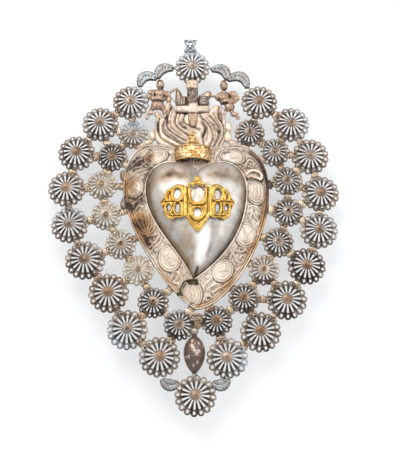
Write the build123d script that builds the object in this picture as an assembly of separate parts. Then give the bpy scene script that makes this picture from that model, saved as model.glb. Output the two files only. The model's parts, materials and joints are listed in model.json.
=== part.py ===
from build123d import *
from math import cos, sin, pi, radians, hypot
import os

# A large votive heart to hang on a wall: a raised silver heart in an embossed border, crowned and
# flaming, held in two rings of small pierced rosettes.
# Frame: +Z up, front towards -Y, wall plane at y = 0, origin on the axis of the nail hole.
# Sizes in millimetres. A place is (x, z), and h is how far it stands in front of the wall.

# Sheet metal and seats
sheet = 0.8
seat = 0.2
rim_gap = 0.3
cut_over = 2.0

# Rings of rosettes, with their centres as shares of the rings' half width and drop
ring_axis = 2.9
ring_top = -1.4
ring_half_width = 84.0
ring_drop = 242.0
upper_rosette_radius = 12.6
lower_rosette_radius = 13.3
top_rosette_radius = 11.8
inner_rosette_radius = 10.3
outer_rosette_rise = 5.6
inner_rosette_rise = 4.2
petals = 16
facets = 8
outer_left_shares = [
    (-0.512, 0.179), (-0.752, 0.245), (-0.933, 0.332), (-1.001, 0.436), (-0.967, 0.540),
    (-0.837, 0.639), (-0.650, 0.729), (-0.502, 0.828), (-0.257, 0.900),
]
outer_right_shares = [
    (0.522, 0.179), (0.772, 0.246), (0.917, 0.342), (0.988, 0.450), (0.965, 0.555),
    (0.862, 0.655), (0.702, 0.748), (0.499, 0.834), (0.247, 0.903),
]
top_rosette_share = (-0.018, 0.071)
bottom_rosette_share = (0.011, 1.001)
inner_left_shares = [
    (-0.486, 0.276), (-0.651, 0.343), (-0.726, 0.426), (-0.686, 0.513),
    (-0.566, 0.595), (-0.428, 0.667), (-0.311, 0.755), (-0.111, 0.815),
]
inner_right_shares = [
    (0.441, 0.271), (0.637, 0.329), (0.732, 0.413), (0.729, 0.503),
    (0.647, 0.589), (0.533, 0.666), (0.379, 0.743), (0.171, 0.805),
]
big_left_from = 6
big_right_from = 7

# Rosette die, as shares of its radius
valley_share = 0.92
slot_root_share = 0.36
slot_end_share = 0.80
slot_half_share = 0.075

# Bosses and rivets on the rosettes' centres
boss_radius = 2.2
boss_height = 1.9
rivet_radius = 1.6
rivet_height = 1.3

# Link tabs, lapped under the rims of the rosettes and under the heart's border
tab_width = 5.5
tab_lap = 3.2
cross_links = [
    ("outer_left_1", "inner_left_1"), ("outer_left_2", "inner_left_1"), ("outer_left_3", "inner_left_2"),
    ("outer_left_4", "inner_left_3"), ("outer_left_5", "inner_left_4"), ("outer_left_6", "inner_left_5"),
    ("outer_left_7", "inner_left_6"), ("outer_left_8", "inner_left_7"), ("outer_left_9", "inner_left_8"),
    ("outer_right_1", "inner_right_1"), ("outer_right_2", "inner_right_2"),
    ("outer_right_3", "inner_right_3"), ("outer_right_4", "inner_right_3"),
    ("outer_right_5", "inner_right_4"), ("outer_right_6", "inner_right_5"),
    ("outer_right_7", "inner_right_6"), ("outer_right_8", "inner_right_7"),
    ("outer_right_9", "inner_right_8"),
    ("outer_left_9", "outer_bottom"), ("outer_right_9", "outer_bottom"), ("inner_left_8", "inner_right_8"),
]

# Heart: the border's outline, and the raised heart's outline inside it
heart_axis = 4.0
border_half_width = 48.3
border_height = 113.8
border_top = -75.1
heart_half_width = 32.2
heart_height = 78.8
heart_top = -90.8
# Each side of an outline is three curves, from the cleft to the tip, as shares of half width and height
border_left_shares = [
    (0.0, 0.06), (0.15, 0.05), (0.35, 0.0), (0.60, 0.0), (0.85, 0.0), (1.0, 0.10), (1.0, 0.27),
    (1.0, 0.50), (0.38, 0.91), (0.0, 1.0),
]
border_right_shares = [
    (0.0, 0.06), (0.15, 0.05), (0.32, 0.0), (0.55, 0.0), (0.85, 0.0), (1.0, 0.12), (1.0, 0.30),
    (1.0, 0.60), (0.42, 1.0), (0.0, 1.0),
]
heart_left_shares = [
    (0.0, 0.095), (0.10, 0.04), (0.28, 0.0), (0.50, 0.0), (0.80, 0.0), (1.0, 0.10), (1.0, 0.24),
    (1.0, 0.52), (0.30, 0.74), (0.05, 1.0),
]
heart_right_shares = [
    (0.0, 0.095), (0.10, 0.04), (0.28, 0.0), (0.50, 0.0), (0.80, 0.0), (1.0, 0.10), (1.0, 0.24),
    (1.0, 0.58), (0.56, 0.82), (-0.05, 1.0),
]
curve_steps = (3, 4, 7)
bead_height = 2.6
bead_width = 1.3
bead_step = 0.6
lip_height = 7.5
lip_width = 1.6
seam = 0.2
dome_rise = 13.6
dome_bands = 5
dome_centre_share = 0.42

# Oval medallion frames on the border: place, radii and turn, as shares of the border and in degrees
medallion_rise = 1.0
medallion_recess = 0.7
medallion_frame = 1.3
medallion_sides = 8
medallion_shares = [
    (-0.55, 0.105, 0.150, 0.100, 20), (0.49, 0.110, 0.155, 0.105, -15), (-0.835, 0.272, 0.105, 0.145, 5),
    (0.820, 0.310, 0.110, 0.170, -3), (-0.663, 0.503, 0.105, 0.145, 22), (0.670, 0.562, 0.115, 0.165, -14),
    (-0.350, 0.705, 0.115, 0.150, 26), (0.350, 0.780, 0.120, 0.135, -38), (-0.045, 0.920, 0.120, 0.130, 0),
]

# Flames and their backing, as shares of a field over the heart
flame_axis = -0.1
flame_foot = -87.4
flame_width = 49.0
flame_height = 40.0
flame_ridge = 2.6
flame_edge = 0.8
tongue_width = 8.4
tongue_steps = 4
tongue_tip_share = 0.28
tongue_shares = [
    ((-0.08, 0.25), (-0.37, 0.30), (-0.49, 0.57), (-0.46, 0.86)),
    ((-0.055, 0.32), (-0.30, 0.39), (-0.40, 0.68), (-0.31, 1.0)),
    ((-0.03, 0.41), (-0.19, 0.46), (-0.33, 0.66), (-0.23, 0.95)),
    ((0.01, 0.52), (-0.10, 0.55), (-0.19, 0.70), (-0.125, 0.87)),
    ((0.19, 0.21), (0.43, 0.28), (0.51, 0.59), (0.44, 0.88)),
    ((0.16, 0.30), (0.34, 0.39), (0.41, 0.70), (0.32, 1.0)),
    ((0.135, 0.41), (0.255, 0.48), (0.33, 0.70), (0.22, 0.85)),
    ((0.115, 0.54), (0.175, 0.59), (0.20, 0.73), (0.14, 0.85)),
]
crest_shares = [
    (-0.30, 0.0), (-0.44, 0.34), (-0.44, 0.68), (-0.34, 0.75), (-0.30, 0.93), (-0.19, 0.97),
    (0.27, 0.97), (0.33, 0.93), (0.37, 0.72), (0.45, 0.75), (0.45, 0.355), (0.30, 0.0),
]

# Cross
cross_axis = 1.7
cross_top = -31.2
cross_foot = -63.9
shaft_top_width = 6.6
shaft_foot_width = 3.4
bar_top = -46.7
bar_low = -52.2
bar_left = -9.6
bar_right = 13.3
cross_thickness = 4.0
cross_bevel = 0.9
cap_height = 3.8
cap_side = 0.6
cap_thickness = 0.7
mound_thickness = 1.8
mound_left_height = 12.4
mound_right_height = 9.6
mound_left_shares = [(0.0, 0.0), (1.0, 0.0), (1.0, 0.50), (0.62, 0.70), (0.30, 1.0), (0.0, 0.90)]
mound_right_shares = [(0.0, 0.0), (1.0, 0.0), (1.0, 0.86), (0.66, 1.0), (0.30, 0.74), (0.0, 0.40)]

# Crown
crown_half_width = 12.0
crown_depth = 10.5
crown_seat = 5.0
crown_wall = 1.1
crown_low = -90.2
crown_height = 10.4
crown_flare_share = 1.07
crown_sides = 8
orb_radius = 2.9
orb_height = 8.0
orb_place_share = 0.93
orb_flat_share = 0.8
orb_shares = [(0.45, 0.0), (1.0, 0.36), (0.72, 0.72)]

# Gilt plaque, its outline and slots as shares of its half width and half height
plaque_axis = 4.8
plaque_middle = -124.0
plaque_half_width = 24.4
plaque_half_height = 18.4
plaque_thickness = 1.2
plaque_panel = 9.0
plaque_lift = 0.15
plaque_wing_drop = 3.9
plaque_half_shares = [
    (0.0, 1.0), (0.10, 0.92), (0.17, 0.70), (0.30, 0.62), (0.36, 0.46), (0.47, 0.55), (0.64, 0.60),
    (0.80, 0.50), (0.84, 0.30), (0.97, 0.24), (1.0, 0.02), (0.90, -0.10), (0.92, -0.30), (0.80, -0.44),
    (0.62, -0.46), (0.50, -0.60), (0.36, -0.50), (0.28, -0.64), (0.14, -0.72), (0.10, -0.94), (0.0, -1.0),
]
plaque_slot_shares = [
    ((0.10, 0.40), (0.22, 0.30), (0.22, -0.26), (0.10, -0.42)),
    ((0.36, 0.26), (0.50, 0.34), (0.50, -0.24), (0.36, -0.28)),
    ((0.60, 0.34), (0.74, 0.20), (0.70, -0.22), (0.60, -0.26)),
]

# Leaf brackets: their two ends as shares of the rings, and their bulge as a share of their width
bracket_width = 4.6
bracket_thickness = 1.7
bracket_steps = 4
bracket_tip_share = 0.42
top_bracket_shares = [
    ((-0.167, 0.073), (-0.298, 0.104), 0.70), ((-0.305, 0.104), (-0.443, 0.129), 0.87),
    ((0.260, 0.108), (0.133, 0.077), 0.78), ((0.424, 0.133), (0.267, 0.109), 0.87),
]
bottom_bracket_shares = [((-0.114, 0.964), (-0.238, 0.957), -0.52), ((0.257, 0.956), (0.136, 0.964), -0.57)]

# Winged figures, placed as shares of the rings
head_radius = 3.3
head_height = 4.0
body_radius = 4.8
body_height = 7.4
head_depth = 5.6
body_depth = 4.6
limb_width = 2.6
limb_thickness = 2.0
wing_width = 4.6
wing_thickness = 1.5
left_head_share = (-0.268, 0.136)
left_body_share = (-0.283, 0.176)
left_limb_shares = [
    ((-0.245, 0.160), (-0.145, 0.139)), ((-0.318, 0.200), (-0.378, 0.232)),
    ((-0.260, 0.200), (-0.235, 0.222)),
]
left_wing_share = ((-0.315, 0.167), (-0.385, 0.147))
right_head_share = (0.240, 0.138)
right_body_share = (0.262, 0.180)
right_limb_shares = [
    ((0.215, 0.168), (0.120, 0.160)), ((0.285, 0.200), (0.332, 0.224)), ((0.240, 0.200), (0.222, 0.222)),
]
right_wing_share = ((0.298, 0.167), (0.372, 0.152))

# Hanging finial
nail_hole_radius = 1.25
finial_half_width = 4.5
finial_top = 3.0
finial_low = -6.4
finial_thickness = 3.0
finial_foot = 4.0
finial_half_shares = [(0.92, 1.0), (1.0, 0.84), (0.62, -0.12), (0.62, -0.35), (0.96, -0.70), (0.90, -1.0)]

# Drop, bead and knot over the bottom rosette, on one narrow hanger
drop_axis = 3.1
drop_middle = -217.4
drop_half_width = 6.9
drop_half_height = 12.0
drop_depth = 8.0
drop_sides = 10
bead_middle = -203.0
bead_radius = 2.6
bead_depth = 4.4
knot_axis = 5.4
knot_middle = -194.4
knot_half_width = 3.4
knot_half_height = 3.6
knot_depth = 3.0
hanger_width = 3.4
hanger_top = -200.6
hanger_low = -233.8

# Wire tie: turns round the heart's tip, and a tail that ends under solder
wire_diameter = 0.9
tie_half_width = 2.9
tie_drop = 0.9
tie_pitch = 1.6
tie_turns = 2
tie_bend = 1.0
tie_clearance = 0.3
tail_side = 6.4
tail_bend = 1.2
tail_reach = 9.0
tail_drop = 7.6
solder_radius = 2.0
solder_depth = 1.8

relief_shares = [(1.0, 0.0), (0.92, 0.45), (0.66, 0.84), (0.26, 1.0)]


def at(place, h):
    return Vector(place[0], -h, place[1])


def level_ring(places, h):
    return [at(p, h) for p in places]


def oval_places(centre, rx, rz, count, turn=0.0, start=0.5):
    """Corners of an oval, turned about its centre."""
    c, s = cos(radians(turn)), sin(radians(turn))
    out = []
    for i in range(count):
        a = 2 * pi * (i + start) / count
        u, v = rx * cos(a), rz * sin(a)
        out.append((centre[0] + u * c - v * s, centre[1] + u * s + v * c))
    return out


def towards(a, b):
    """Length and direction from one place to another."""
    length = hypot(b[0] - a[0], b[1] - a[1])
    return length, (b[0] - a[0]) / length, (b[1] - a[1]) / length


def grown(places, by):
    """A clockwise outline moved outwards, with mitred corners."""
    out = []
    for i, b in enumerate(places):
        _, ux, uz = towards(places[i - 1], b)
        _, vx, vz = towards(b, places[(i + 1) % len(places)])
        k = by / (1 + ux * vx + uz * vz)
        out.append((b[0] - (uz + vz) * k, b[1] + (ux + vx) * k))
    return out


def flat_face(*corners):
    return Face(Wire.make_polygon(corners, close=True))


def side_faces(a, b, c, d):
    """The wall between two edges: one face where it is flat, or else two triangles."""
    across = (b - a).cross(c - a)
    off = abs(across.dot(d - a)) / max(across.length, sheet ** 2)
    return [flat_face(a, b, c, d)] if off < sheet / 1e5 else [flat_face(a, b, c), flat_face(a, c, d)]


def skin(rings):
    """A closed solid through rings with the same number of corners; an end may be one point."""
    faces = [flat_face(*ring) for ring in (rings[0], rings[-1]) if len(ring) > 1]
    for low, high in zip(rings, rings[1:]):
        n = max(len(low), len(high))
        for i in range(n):
            j = (i + 1) % n
            if len(low) == 1:
                faces.append(flat_face(low[0], high[j], high[i]))
            elif len(high) == 1:
                faces.append(flat_face(low[i], low[j], high[0]))
            else:
                faces += side_faces(low[i], low[j], high[j], high[i])
    solid = Solid(Shell(faces))
    return solid if solid.volume > 0 else Solid(Shell([-f for f in faces]))


def prism(places, low, high):
    return skin([level_ring(places, low), level_ring(places, high)])


def relief(centre, rx, rz, low, depth, count=6):
    """A low half-round boss: an oval foot, two shoulders and a flat crest."""
    return skin([level_ring(oval_places(centre, rx * wide, rz * wide, count), low + depth * level)
                 for wide, level in relief_shares])


def strip(a, b, width, low, high):
    """A flat bar between two places."""
    _, ux, uz = towards(a, b)
    nx, nz = -uz * width / 2, ux * width / 2
    places = [(a[0] + nx, a[1] + nz), (a[0] - nx, a[1] - nz), (b[0] - nx, b[1] - nz), (b[0] + nx, b[1] + nz)]
    return prism(places, low, high)


def bezier(a, b, c, d, t):
    u = 1 - t
    weights = (u ** 3, 3 * u * u * t, 3 * u * t * t, t ** 3)
    return tuple(sum(w * p[i] for w, p in zip(weights, (a, b, c, d))) for i in (0, 1))


def heart_side(shares):
    out = []
    for part, steps in enumerate(curve_steps):
        controls = shares[3 * part:3 * part + 4]
        out += [bezier(*controls, k / steps) for k in range(steps)]
    return out + [shares[-1]]


def heart_places(left, right, half_width, height, top):
    """A heart's outline, clockwise from the cleft."""
    places = [(heart_axis + half_width * u, top - height * v) for u, v in heart_side(right)]
    back = [(heart_axis - half_width * u, top - height * v) for u, v in heart_side(left)]
    return places + back[-2:0:-1]


def ridge_slope(radius, rise):
    """Fall along the flower's ridges, so that its petal tips are level."""
    return rise / (radius * cos(pi / petals)) * cos(pi / facets)


def facet_ring(reach, level):
    return level_ring(oval_places((0, 0), reach, reach, facets, start=0), level)


def rosette_die(radius, rise):
    """A pierced, domed flower of eight flat faces, two petals to a face."""
    def bowl(lift):
        low = sheet + cut_over
        foot = facet_ring((rise + low) / ridge_slope(radius, rise), lift - low)
        return skin([foot, [at((0, 0), rise + lift)]])

    rim = []
    slots = []
    root, end, half = radius * slot_root_share, radius * slot_end_share, radius * slot_half_share
    for k in range(petals):
        a, b = 2 * pi * k / petals, 2 * pi * (k + 0.5) / petals
        rim.append((radius * valley_share * cos(a), radius * valley_share * sin(a)))
        rim.append((radius * cos(b), radius * sin(b)))
        slot = [(cos(b) * root, sin(b) * root), (cos(b) * end - sin(b) * half, sin(b) * end + cos(b) * half),
                (cos(b) * end + sin(b) * half, sin(b) * end - cos(b) * half)]
        slots.append(prism(slot, -cut_over, rise + cut_over))
    flower = prism(rim, -cut_over, rise + cut_over) & bowl(sheet)
    return (flower - bowl(0)) - slots


def rosette_boss(radius, rise, reach, height):
    """A faceted stud that sits on the flower's crest."""
    foot = rise - reach * ridge_slope(radius, rise) + sheet
    return skin([[at((0, 0), rise + sheet)], facet_ring(reach, foot), [at((0, 0), rise + height)]])


def place_of(share):
    return (ring_axis + share[0] * ring_half_width, ring_top - share[1] * ring_drop)


def rosette_table():
    """Every rosette's place, radius and rise, under its place in the rings."""
    table = {"outer_top": (place_of(top_rosette_share), top_rosette_radius, outer_rosette_rise)}
    for side, shares, big_from in (("left", outer_left_shares, big_left_from),
                                   ("right", outer_right_shares, big_right_from)):
        for i, share in enumerate(shares, 1):
            radius = lower_rosette_radius if i >= big_from else upper_rosette_radius
            table[f"outer_{side}_{i}"] = (place_of(share), radius, outer_rosette_rise)
    table["outer_bottom"] = (place_of(bottom_rosette_share), lower_rosette_radius, outer_rosette_rise)
    for side, shares in (("left", inner_left_shares), ("right", inner_right_shares)):
        for i, share in enumerate(shares, 1):
            table[f"inner_{side}_{i}"] = (place_of(share), inner_rosette_radius, inner_rosette_rise)
    return table


def rosette_pairs():
    """The neighbours that a tab joins: along each ring, then between the rings."""
    pairs = []
    for ring, left, right in (("outer", outer_left_shares, outer_right_shares),
                              ("inner", inner_left_shares, inner_right_shares)):
        for side, shares in (("left", left), ("right", right)):
            pairs += [(f"{ring}_{side}_{i}", f"{ring}_{side}_{i + 1}") for i in range(1, len(shares))]
    return pairs + cross_links


def lapped_strip(a, b, start, end):
    """A strip of sheet on the line from a towards b, between two distances along it."""
    _, ux, uz = towards(a, b)
    near, far = (a[0] + ux * start, a[1] + uz * start), (a[0] + ux * end, a[1] + uz * end)
    return strip(near, far, tab_width, 0, sheet)


def make_tab(table, first, second):
    """A strip of sheet lapped under two rims."""
    (a, ra, _), (b, rb, _) = table[first], table[second]
    return lapped_strip(a, b, ra - tab_lap, towards(a, b)[0] - rb + tab_lap)


def make_heart_tab(table, name, outline):
    """A strip from an inner rosette's rim to the nearest edge of the back plate."""
    a, ra, _ = table[name]
    near = min(outline, key=lambda p: hypot(p[0] - a[0], p[1] - a[1]))
    return lapped_strip(a, near, ra - tab_lap, towards(a, near)[0] + tab_lap)


def clear_of(solid, table, names):
    """Cuts a piece back from the rims of the rosettes beside it."""
    for name in names:
        place, radius, rise = table[name]
        room = radius + rim_gap
        solid = solid - prism(oval_places(place, room, room, petals), -sheet, sheet + rise + drop_depth)
    return solid


def border_level(place, outer, inner):
    """Height of the border's slope, from the distances to its two outlines."""
    out = min(hypot(place[0] - p[0], place[1] - p[1]) for p in outer)
    into = min(hypot(place[0] - p[0], place[1] - p[1]) for p in inner)
    low = bead_height - bead_step
    return low + (lip_height - low) * out / (out + into)


def make_medallion(shares, outer, inner):
    """A raised oval frame and its sunk field, leaning with the border's slope."""
    u, v, ru, rv, turn = shares
    centre = (heart_axis + border_half_width * u, border_top - border_height * v)
    rx, rz = border_half_width * ru, border_half_width * rv
    level = border_level(centre, outer, inner)
    lean_x = (border_level((centre[0] + rx, centre[1]), outer, inner) - level) / rx
    lean_z = (border_level((centre[0], centre[1] + rz), outer, inner) - level) / rz

    def leaning(inset, lift):
        places = oval_places(centre, rx - inset, rz - inset, medallion_sides, turn)
        base = level + lift
        return [at(p, base + lean_x * (p[0] - centre[0]) + lean_z * (p[1] - centre[1])) for p in places]

    foot = level_ring(oval_places(centre, rx, rz, medallion_sides, turn), sheet + seat)
    body = skin([foot, leaning(0, medallion_rise)])
    sunk = medallion_rise - medallion_recess
    field = skin([leaning(medallion_frame, sunk), leaning(medallion_frame, medallion_rise + cut_over)])
    return body, field


def make_border(outer, heart):
    bead_inner, lip = grown(outer, -bead_width), grown(heart, lip_width)
    body = skin([level_ring(outer, sheet), level_ring(outer, bead_height),
                 level_ring(bead_inner, bead_height), level_ring(bead_inner, bead_height - bead_step),
                 level_ring(lip, lip_height)])
    frames = [make_medallion(m, bead_inner, lip) for m in medallion_shares]
    body = body + [b for b, _ in frames] - [f for _, f in frames]
    return body - prism(grown(heart, seam), -cut_over, lip_height + cut_over)


def make_dome(outline):
    centre = (heart_axis, heart_top - heart_height * dome_centre_share)
    rings = [level_ring(outline, sheet)]
    for k in range(dome_bands):
        a = pi / 2 * k / dome_bands
        drawn_in = [(centre[0] + (x - centre[0]) * cos(a), centre[1] + (z - centre[1]) * cos(a))
                    for x, z in outline]
        rings.append(level_ring(drawn_in, lip_height + dome_rise * sin(a)))
    rings.append([at(centre, lip_height + dome_rise)])
    return skin(rings)


def flame_place(share):
    return (flame_axis + share[0] * flame_width, flame_foot + share[1] * flame_height)


def make_tongue(shares):
    """One flame: a ridged blade that narrows along an S-shaped line."""
    line = [flame_place(s) for s in shares]
    rings = []
    for k in range(tongue_steps):
        t = k / tongue_steps
        here, ahead = bezier(*line, t), bezier(*line, t + 1 / tongue_steps)
        _, ux, uz = towards(here, ahead)
        half = tongue_width / 2 * (1 - t * (1 - tongue_tip_share))
        low = sheet + flame_edge / 2
        rings.append([at((here[0] - uz * half, here[1] + ux * half), low),
                      at((here[0] + uz * half, here[1] - ux * half), low), at(here, sheet + flame_ridge)])
    rings.append([at(line[-1], sheet + flame_edge)])
    return skin(rings)


def cross_places(inset=0.0):
    top, foot = shaft_top_width / 2 - inset, shaft_foot_width / 2 - inset
    x, up, low = cross_axis, bar_top - inset, bar_low + inset
    return [(x - top, cross_top - inset), (x + top, cross_top - inset), (x + top, up),
            (bar_right - inset, up), (bar_right - inset, low), (x + top, low),
            (x + foot, cross_foot + inset), (x - foot, cross_foot + inset), (x - top, low),
            (bar_left + inset, low), (bar_left + inset, up), (x - top, up)]


def make_cross():
    shoulder = sheet + cross_thickness - cross_bevel
    return skin([level_ring(cross_places(), sheet), level_ring(cross_places(), shoulder),
                 level_ring(cross_places(cross_bevel), sheet + cross_thickness)])


def make_cross_cap():
    half = shaft_top_width / 2 - cross_bevel + cap_side
    low, top = sheet + cross_thickness, cross_top - cross_bevel
    return strip((cross_axis, top), (cross_axis, top - cap_height), 2 * half, low, low + cap_thickness)


def make_mounds():
    half = shaft_top_width / 2
    spans = ((bar_left, cross_axis - half, mound_left_height, mound_left_shares),
             (cross_axis + half, bar_right, mound_right_height, mound_right_shares))
    out = []
    for left, right, height, shares in spans:
        places = [(left + u * (right - left), bar_top + v * height) for u, v in shares]
        out.append(prism(places, sheet, sheet + mound_thickness))
    return out


def make_crown():
    """A half-round band standing out from the wall, wider at its upper edge."""
    def half_round(scale, level, wall):
        reach, depth = crown_half_width * scale - wall, crown_depth * scale - wall
        out = []
        for k in range(crown_sides + 1):
            a = pi * k / crown_sides
            out.append(Vector(cross_axis + reach * cos(a), -crown_seat - depth * sin(a), level))
        return out + [Vector(cross_axis - reach, -sheet, level), Vector(cross_axis + reach, -sheet, level)]

    top = crown_low + crown_height
    outer = skin([half_round(1, crown_low, 0), half_round(crown_flare_share, top, 0)])
    steps = ((1, crown_low - cut_over), (1, crown_low),
             (crown_flare_share, top), (crown_flare_share, top + cut_over))
    return outer - skin([half_round(scale, level, crown_wall) for scale, level in steps])


def make_orb():
    """A small faceted orb on the crown's upper edge."""
    low = crown_low + crown_height
    depth = crown_seat + crown_depth * crown_flare_share * orb_place_share
    rings = []
    for wide, level in orb_shares:
        reach = orb_radius * wide
        corners = oval_places((cross_axis, -depth), reach, reach * orb_flat_share, facets)
        rings.append([Vector(x, y, low + orb_height * level) for x, y in corners])
    rings.append([Vector(cross_axis, -depth, low + orb_height)])
    return skin(rings)


def make_plaque():
    """Openwork plate in three panels, bent back over the heart at its wings."""
    far = lip_height + dome_rise + cut_over

    def plaque_place(share, side=1):
        x, z = side * share[0] * plaque_half_width, share[1] * plaque_half_height
        return (plaque_axis + x, plaque_middle + z)

    outline = [plaque_place(s) for s in plaque_half_shares]
    outline += [plaque_place(s, -1) for s in plaque_half_shares[-2:0:-1]]
    slots = [prism([plaque_place(s, side) for s in slot], 0, far + cut_over)
             for slot in plaque_slot_shares for side in (1, -1)]
    low = lip_height + dome_rise + plaque_lift
    reach = plaque_half_width + cut_over
    drop = plaque_wing_drop * (reach - plaque_panel) / (plaque_half_width - plaque_panel)
    bend = [(-reach, low - drop), (-plaque_panel, low), (plaque_panel, low), (reach, low - drop)]
    bend += [(u, h + plaque_thickness) for u, h in reversed(bend)]
    band = []
    for z in (plaque_middle - plaque_half_height - cut_over, plaque_middle + plaque_half_height + cut_over):
        band.append([Vector(plaque_axis + u, -h, z) for u, h in bend])
    return (prism(outline, 0, far) & skin(band)) - slots


def make_bracket(start_share, end_share, bulge_share):
    """A crescent leaf of sheet, narrow at both ends."""
    start, end = place_of(start_share), place_of(end_share)
    length, ux, uz = towards(start, end)
    upper, lower = [], []
    for k in range(bracket_steps + 1):
        t = k / bracket_steps
        arch = 4 * t * (1 - t)
        middle = bulge_share * bracket_width * arch
        half = bracket_width / 2 * (bracket_tip_share + (1 - bracket_tip_share) * arch)
        px, pz = start[0] + ux * length * t, start[1] + uz * length * t
        upper.append((px + uz * (middle + half), pz - ux * (middle + half)))
        lower.append((px + uz * (middle - half), pz - ux * (middle - half)))
    return prism(upper + lower[::-1], sheet, sheet + bracket_thickness)


def make_figure(head, body, limbs, wing):
    """A small winged figure in half relief."""
    figure = relief(place_of(head), head_radius, head_height, sheet, head_depth)
    figure = figure + relief(place_of(body), body_radius, body_height, sheet, body_depth)
    for start, end in limbs:
        figure = figure + strip(place_of(start), place_of(end), limb_width, sheet, sheet + limb_thickness)
    return figure + strip(place_of(wing[0]), place_of(wing[1]), wing_width, sheet, sheet + wing_thickness)


def make_finial():
    middle, half_height = (finial_top + finial_low) / 2, (finial_top - finial_low) / 2
    right = [(u * finial_half_width, middle + v * half_height) for u, v in finial_half_shares]
    outline = right + [(-u, v) for u, v in reversed(right)]
    foot = strip((0, finial_low), (0, finial_low - finial_foot), 2 * right[-1][0], 0, sheet)
    bore = Plane.XZ * Cylinder(nail_hole_radius, 2 * (finial_thickness + cut_over))
    return prism(outline, 0, finial_thickness) + foot - bore


def tip_place():
    return (heart_axis - heart_half_width * heart_left_shares[-1][0], heart_top - heart_height)


def tail_places():
    """The tail's end on the border and its bend beside the heart's tip."""
    x, z = tip_place()
    level = z - tie_drop
    return [(x - tail_reach, level - tail_drop), (x - tail_side, level - tail_bend)]


def tie_route(outer, heart):
    """The tail up the border, then the turns round the heart's tip, ending behind the border."""
    tip = tip_place()
    wire = wire_diameter / 2
    front, back = lip_height + tie_clearance + wire, sheet + tie_clearance + wire
    left, right = tip[0] - tie_half_width, tip[0] + tie_half_width
    level = tip[1] - tie_drop
    lift = tie_clearance + wire
    points = [at(p, border_level(p, outer, heart) + lift) for p in tail_places()]
    points.append(at((left, level), front))
    for turn in range(tie_turns):
        z = level - turn * tie_pitch
        points += [at((right, z), front), at((right, z), back)]
        if turn < tie_turns - 1:
            points += [at((left, z - tie_pitch), back), at((left, z - tie_pitch), front)]
    return points


def make_wire(points):
    path = FilletPolyline(*points, radius=tie_bend)
    section = Plane(origin=path @ 0, x_dir=(0, 0, 1), z_dir=path % 0) * RegularPolygon(wire_diameter / 2, 6)
    return sweep(section, path), path


def least_gap(path):
    """The smallest space between two stretches of the wire that aren't neighbours, on points."""
    count = int(path.length / wire_diameter * 4)
    points = [path.position_at(i / count) for i in range(count + 1)]
    apart = int(count * pi * tie_bend / path.length) + 4
    gaps = [(points[i] - points[j]).length for i in range(count + 1) for j in range(i + apart, count + 1)]
    return min(gaps) - wire_diameter


def tie_channel():
    """Room for the wire: a shaft each side of the tip and a passage behind it."""
    tip = tip_place()
    room = wire_diameter / 2 + tie_clearance
    high = tip[1] - tie_drop + room
    low = tip[1] - tie_drop - (tie_turns - 1) * tie_pitch - room
    back = sheet + 2 * room
    spaces = [strip((tip[0], low), (tip[0], high), 2 * (tie_half_width + room), sheet, back)]
    for side in (-1, 1):
        x = tip[0] + side * tie_half_width
        spaces.append(strip((x, low), (x, high), 2 * room, sheet, lip_height + cut_over))
    return spaces


def write(name, shape):
    shape.label = name
    export_step(shape, f"parts/{name}.step")


def group(solids):
    return Compound(children=list(solids))


def write_rosettes(table):
    """Each rosette on its own, then the bosses and rivets on their centres."""
    dies = {}
    fixings = {"outer": [], "inner": []}
    for i, (name, (place, radius, rise)) in enumerate(table.items()):
        ring, rest = name.split("_", 1)
        if (radius, rise) not in dies:
            stud = (boss_radius, boss_height) if ring == "outer" else (rivet_radius, rivet_height)
            dies[radius, rise] = rosette_die(radius, rise), rosette_boss(radius, rise, *stud)
        flower, boss = dies[radius, rise]
        turn = 360 / petals * (i * 5 % petals) / petals
        spot = Location((place[0], -sheet - seat, place[1]), (0, turn, 0))
        write(f"{ring}_rosette_{rest}", flower.moved(spot))
        fixings[ring].append(boss.moved(spot))
    write("copper_bosses", group(fixings["outer"]))
    write("rosette_rivets", group(fixings["inner"]))


def write_heart(outer, heart, rosettes):
    """The heart with its border, flames, cross, crown and plaque."""
    crest = [flame_place(s) for s in crest_shares]
    top = rosettes["outer_top"][0][1] - top_rosette_radius + tab_lap
    plate = prism(outer, 0, sheet) + prism(crest, 0, sheet)
    plate = plate + strip((cross_axis, top), (cross_axis, bar_low), hanger_width, 0, sheet)
    border = make_border(outer, heart) - tie_channel()
    dome = make_dome(heart)
    above = prism(outer, 0, lip_height + dome_rise)
    cross = make_cross()
    mounds = make_mounds()
    flames = prism(crest, sheet, sheet + flame_edge) + [make_tongue(t) for t in tongue_shares]
    flames = clear_of(flames - above - prism(cross_places(), 0, lip_height + dome_rise) - mounds, rosettes,
                      ("inner_left_1", "inner_right_1"))
    write("back_plate", plate)
    write("embossed_border", border)
    write("heart_dome", dome)
    write("flame_sheet", flames)
    write("cross", cross)
    write("cross_cap", make_cross_cap())
    write("arm_mounds", group(mounds))
    write("crown", make_crown() - border - dome - flames - cross)
    write("crown_orb", make_orb())
    write("gilt_plaque", make_plaque())

    left = make_figure(left_head_share, left_body_share, left_limb_shares, left_wing_share)
    right = make_figure(right_head_share, right_body_share, right_limb_shares, right_wing_share)
    brackets = [make_bracket(*b) for b in top_bracket_shares]
    brackets = [clear_of(b, rosettes, ("outer_top", "outer_left_1", "outer_right_1")) for b in brackets]
    rims = ("outer_left_1", "outer_right_1", "inner_left_1", "inner_right_1")
    write("top_brackets", group(brackets))
    write("cherub_left", clear_of(left - flames - mounds - brackets, rosettes, rims))
    write("cherub_right", clear_of(right - flames - mounds - brackets, rosettes, rims))
    return plate


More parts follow.
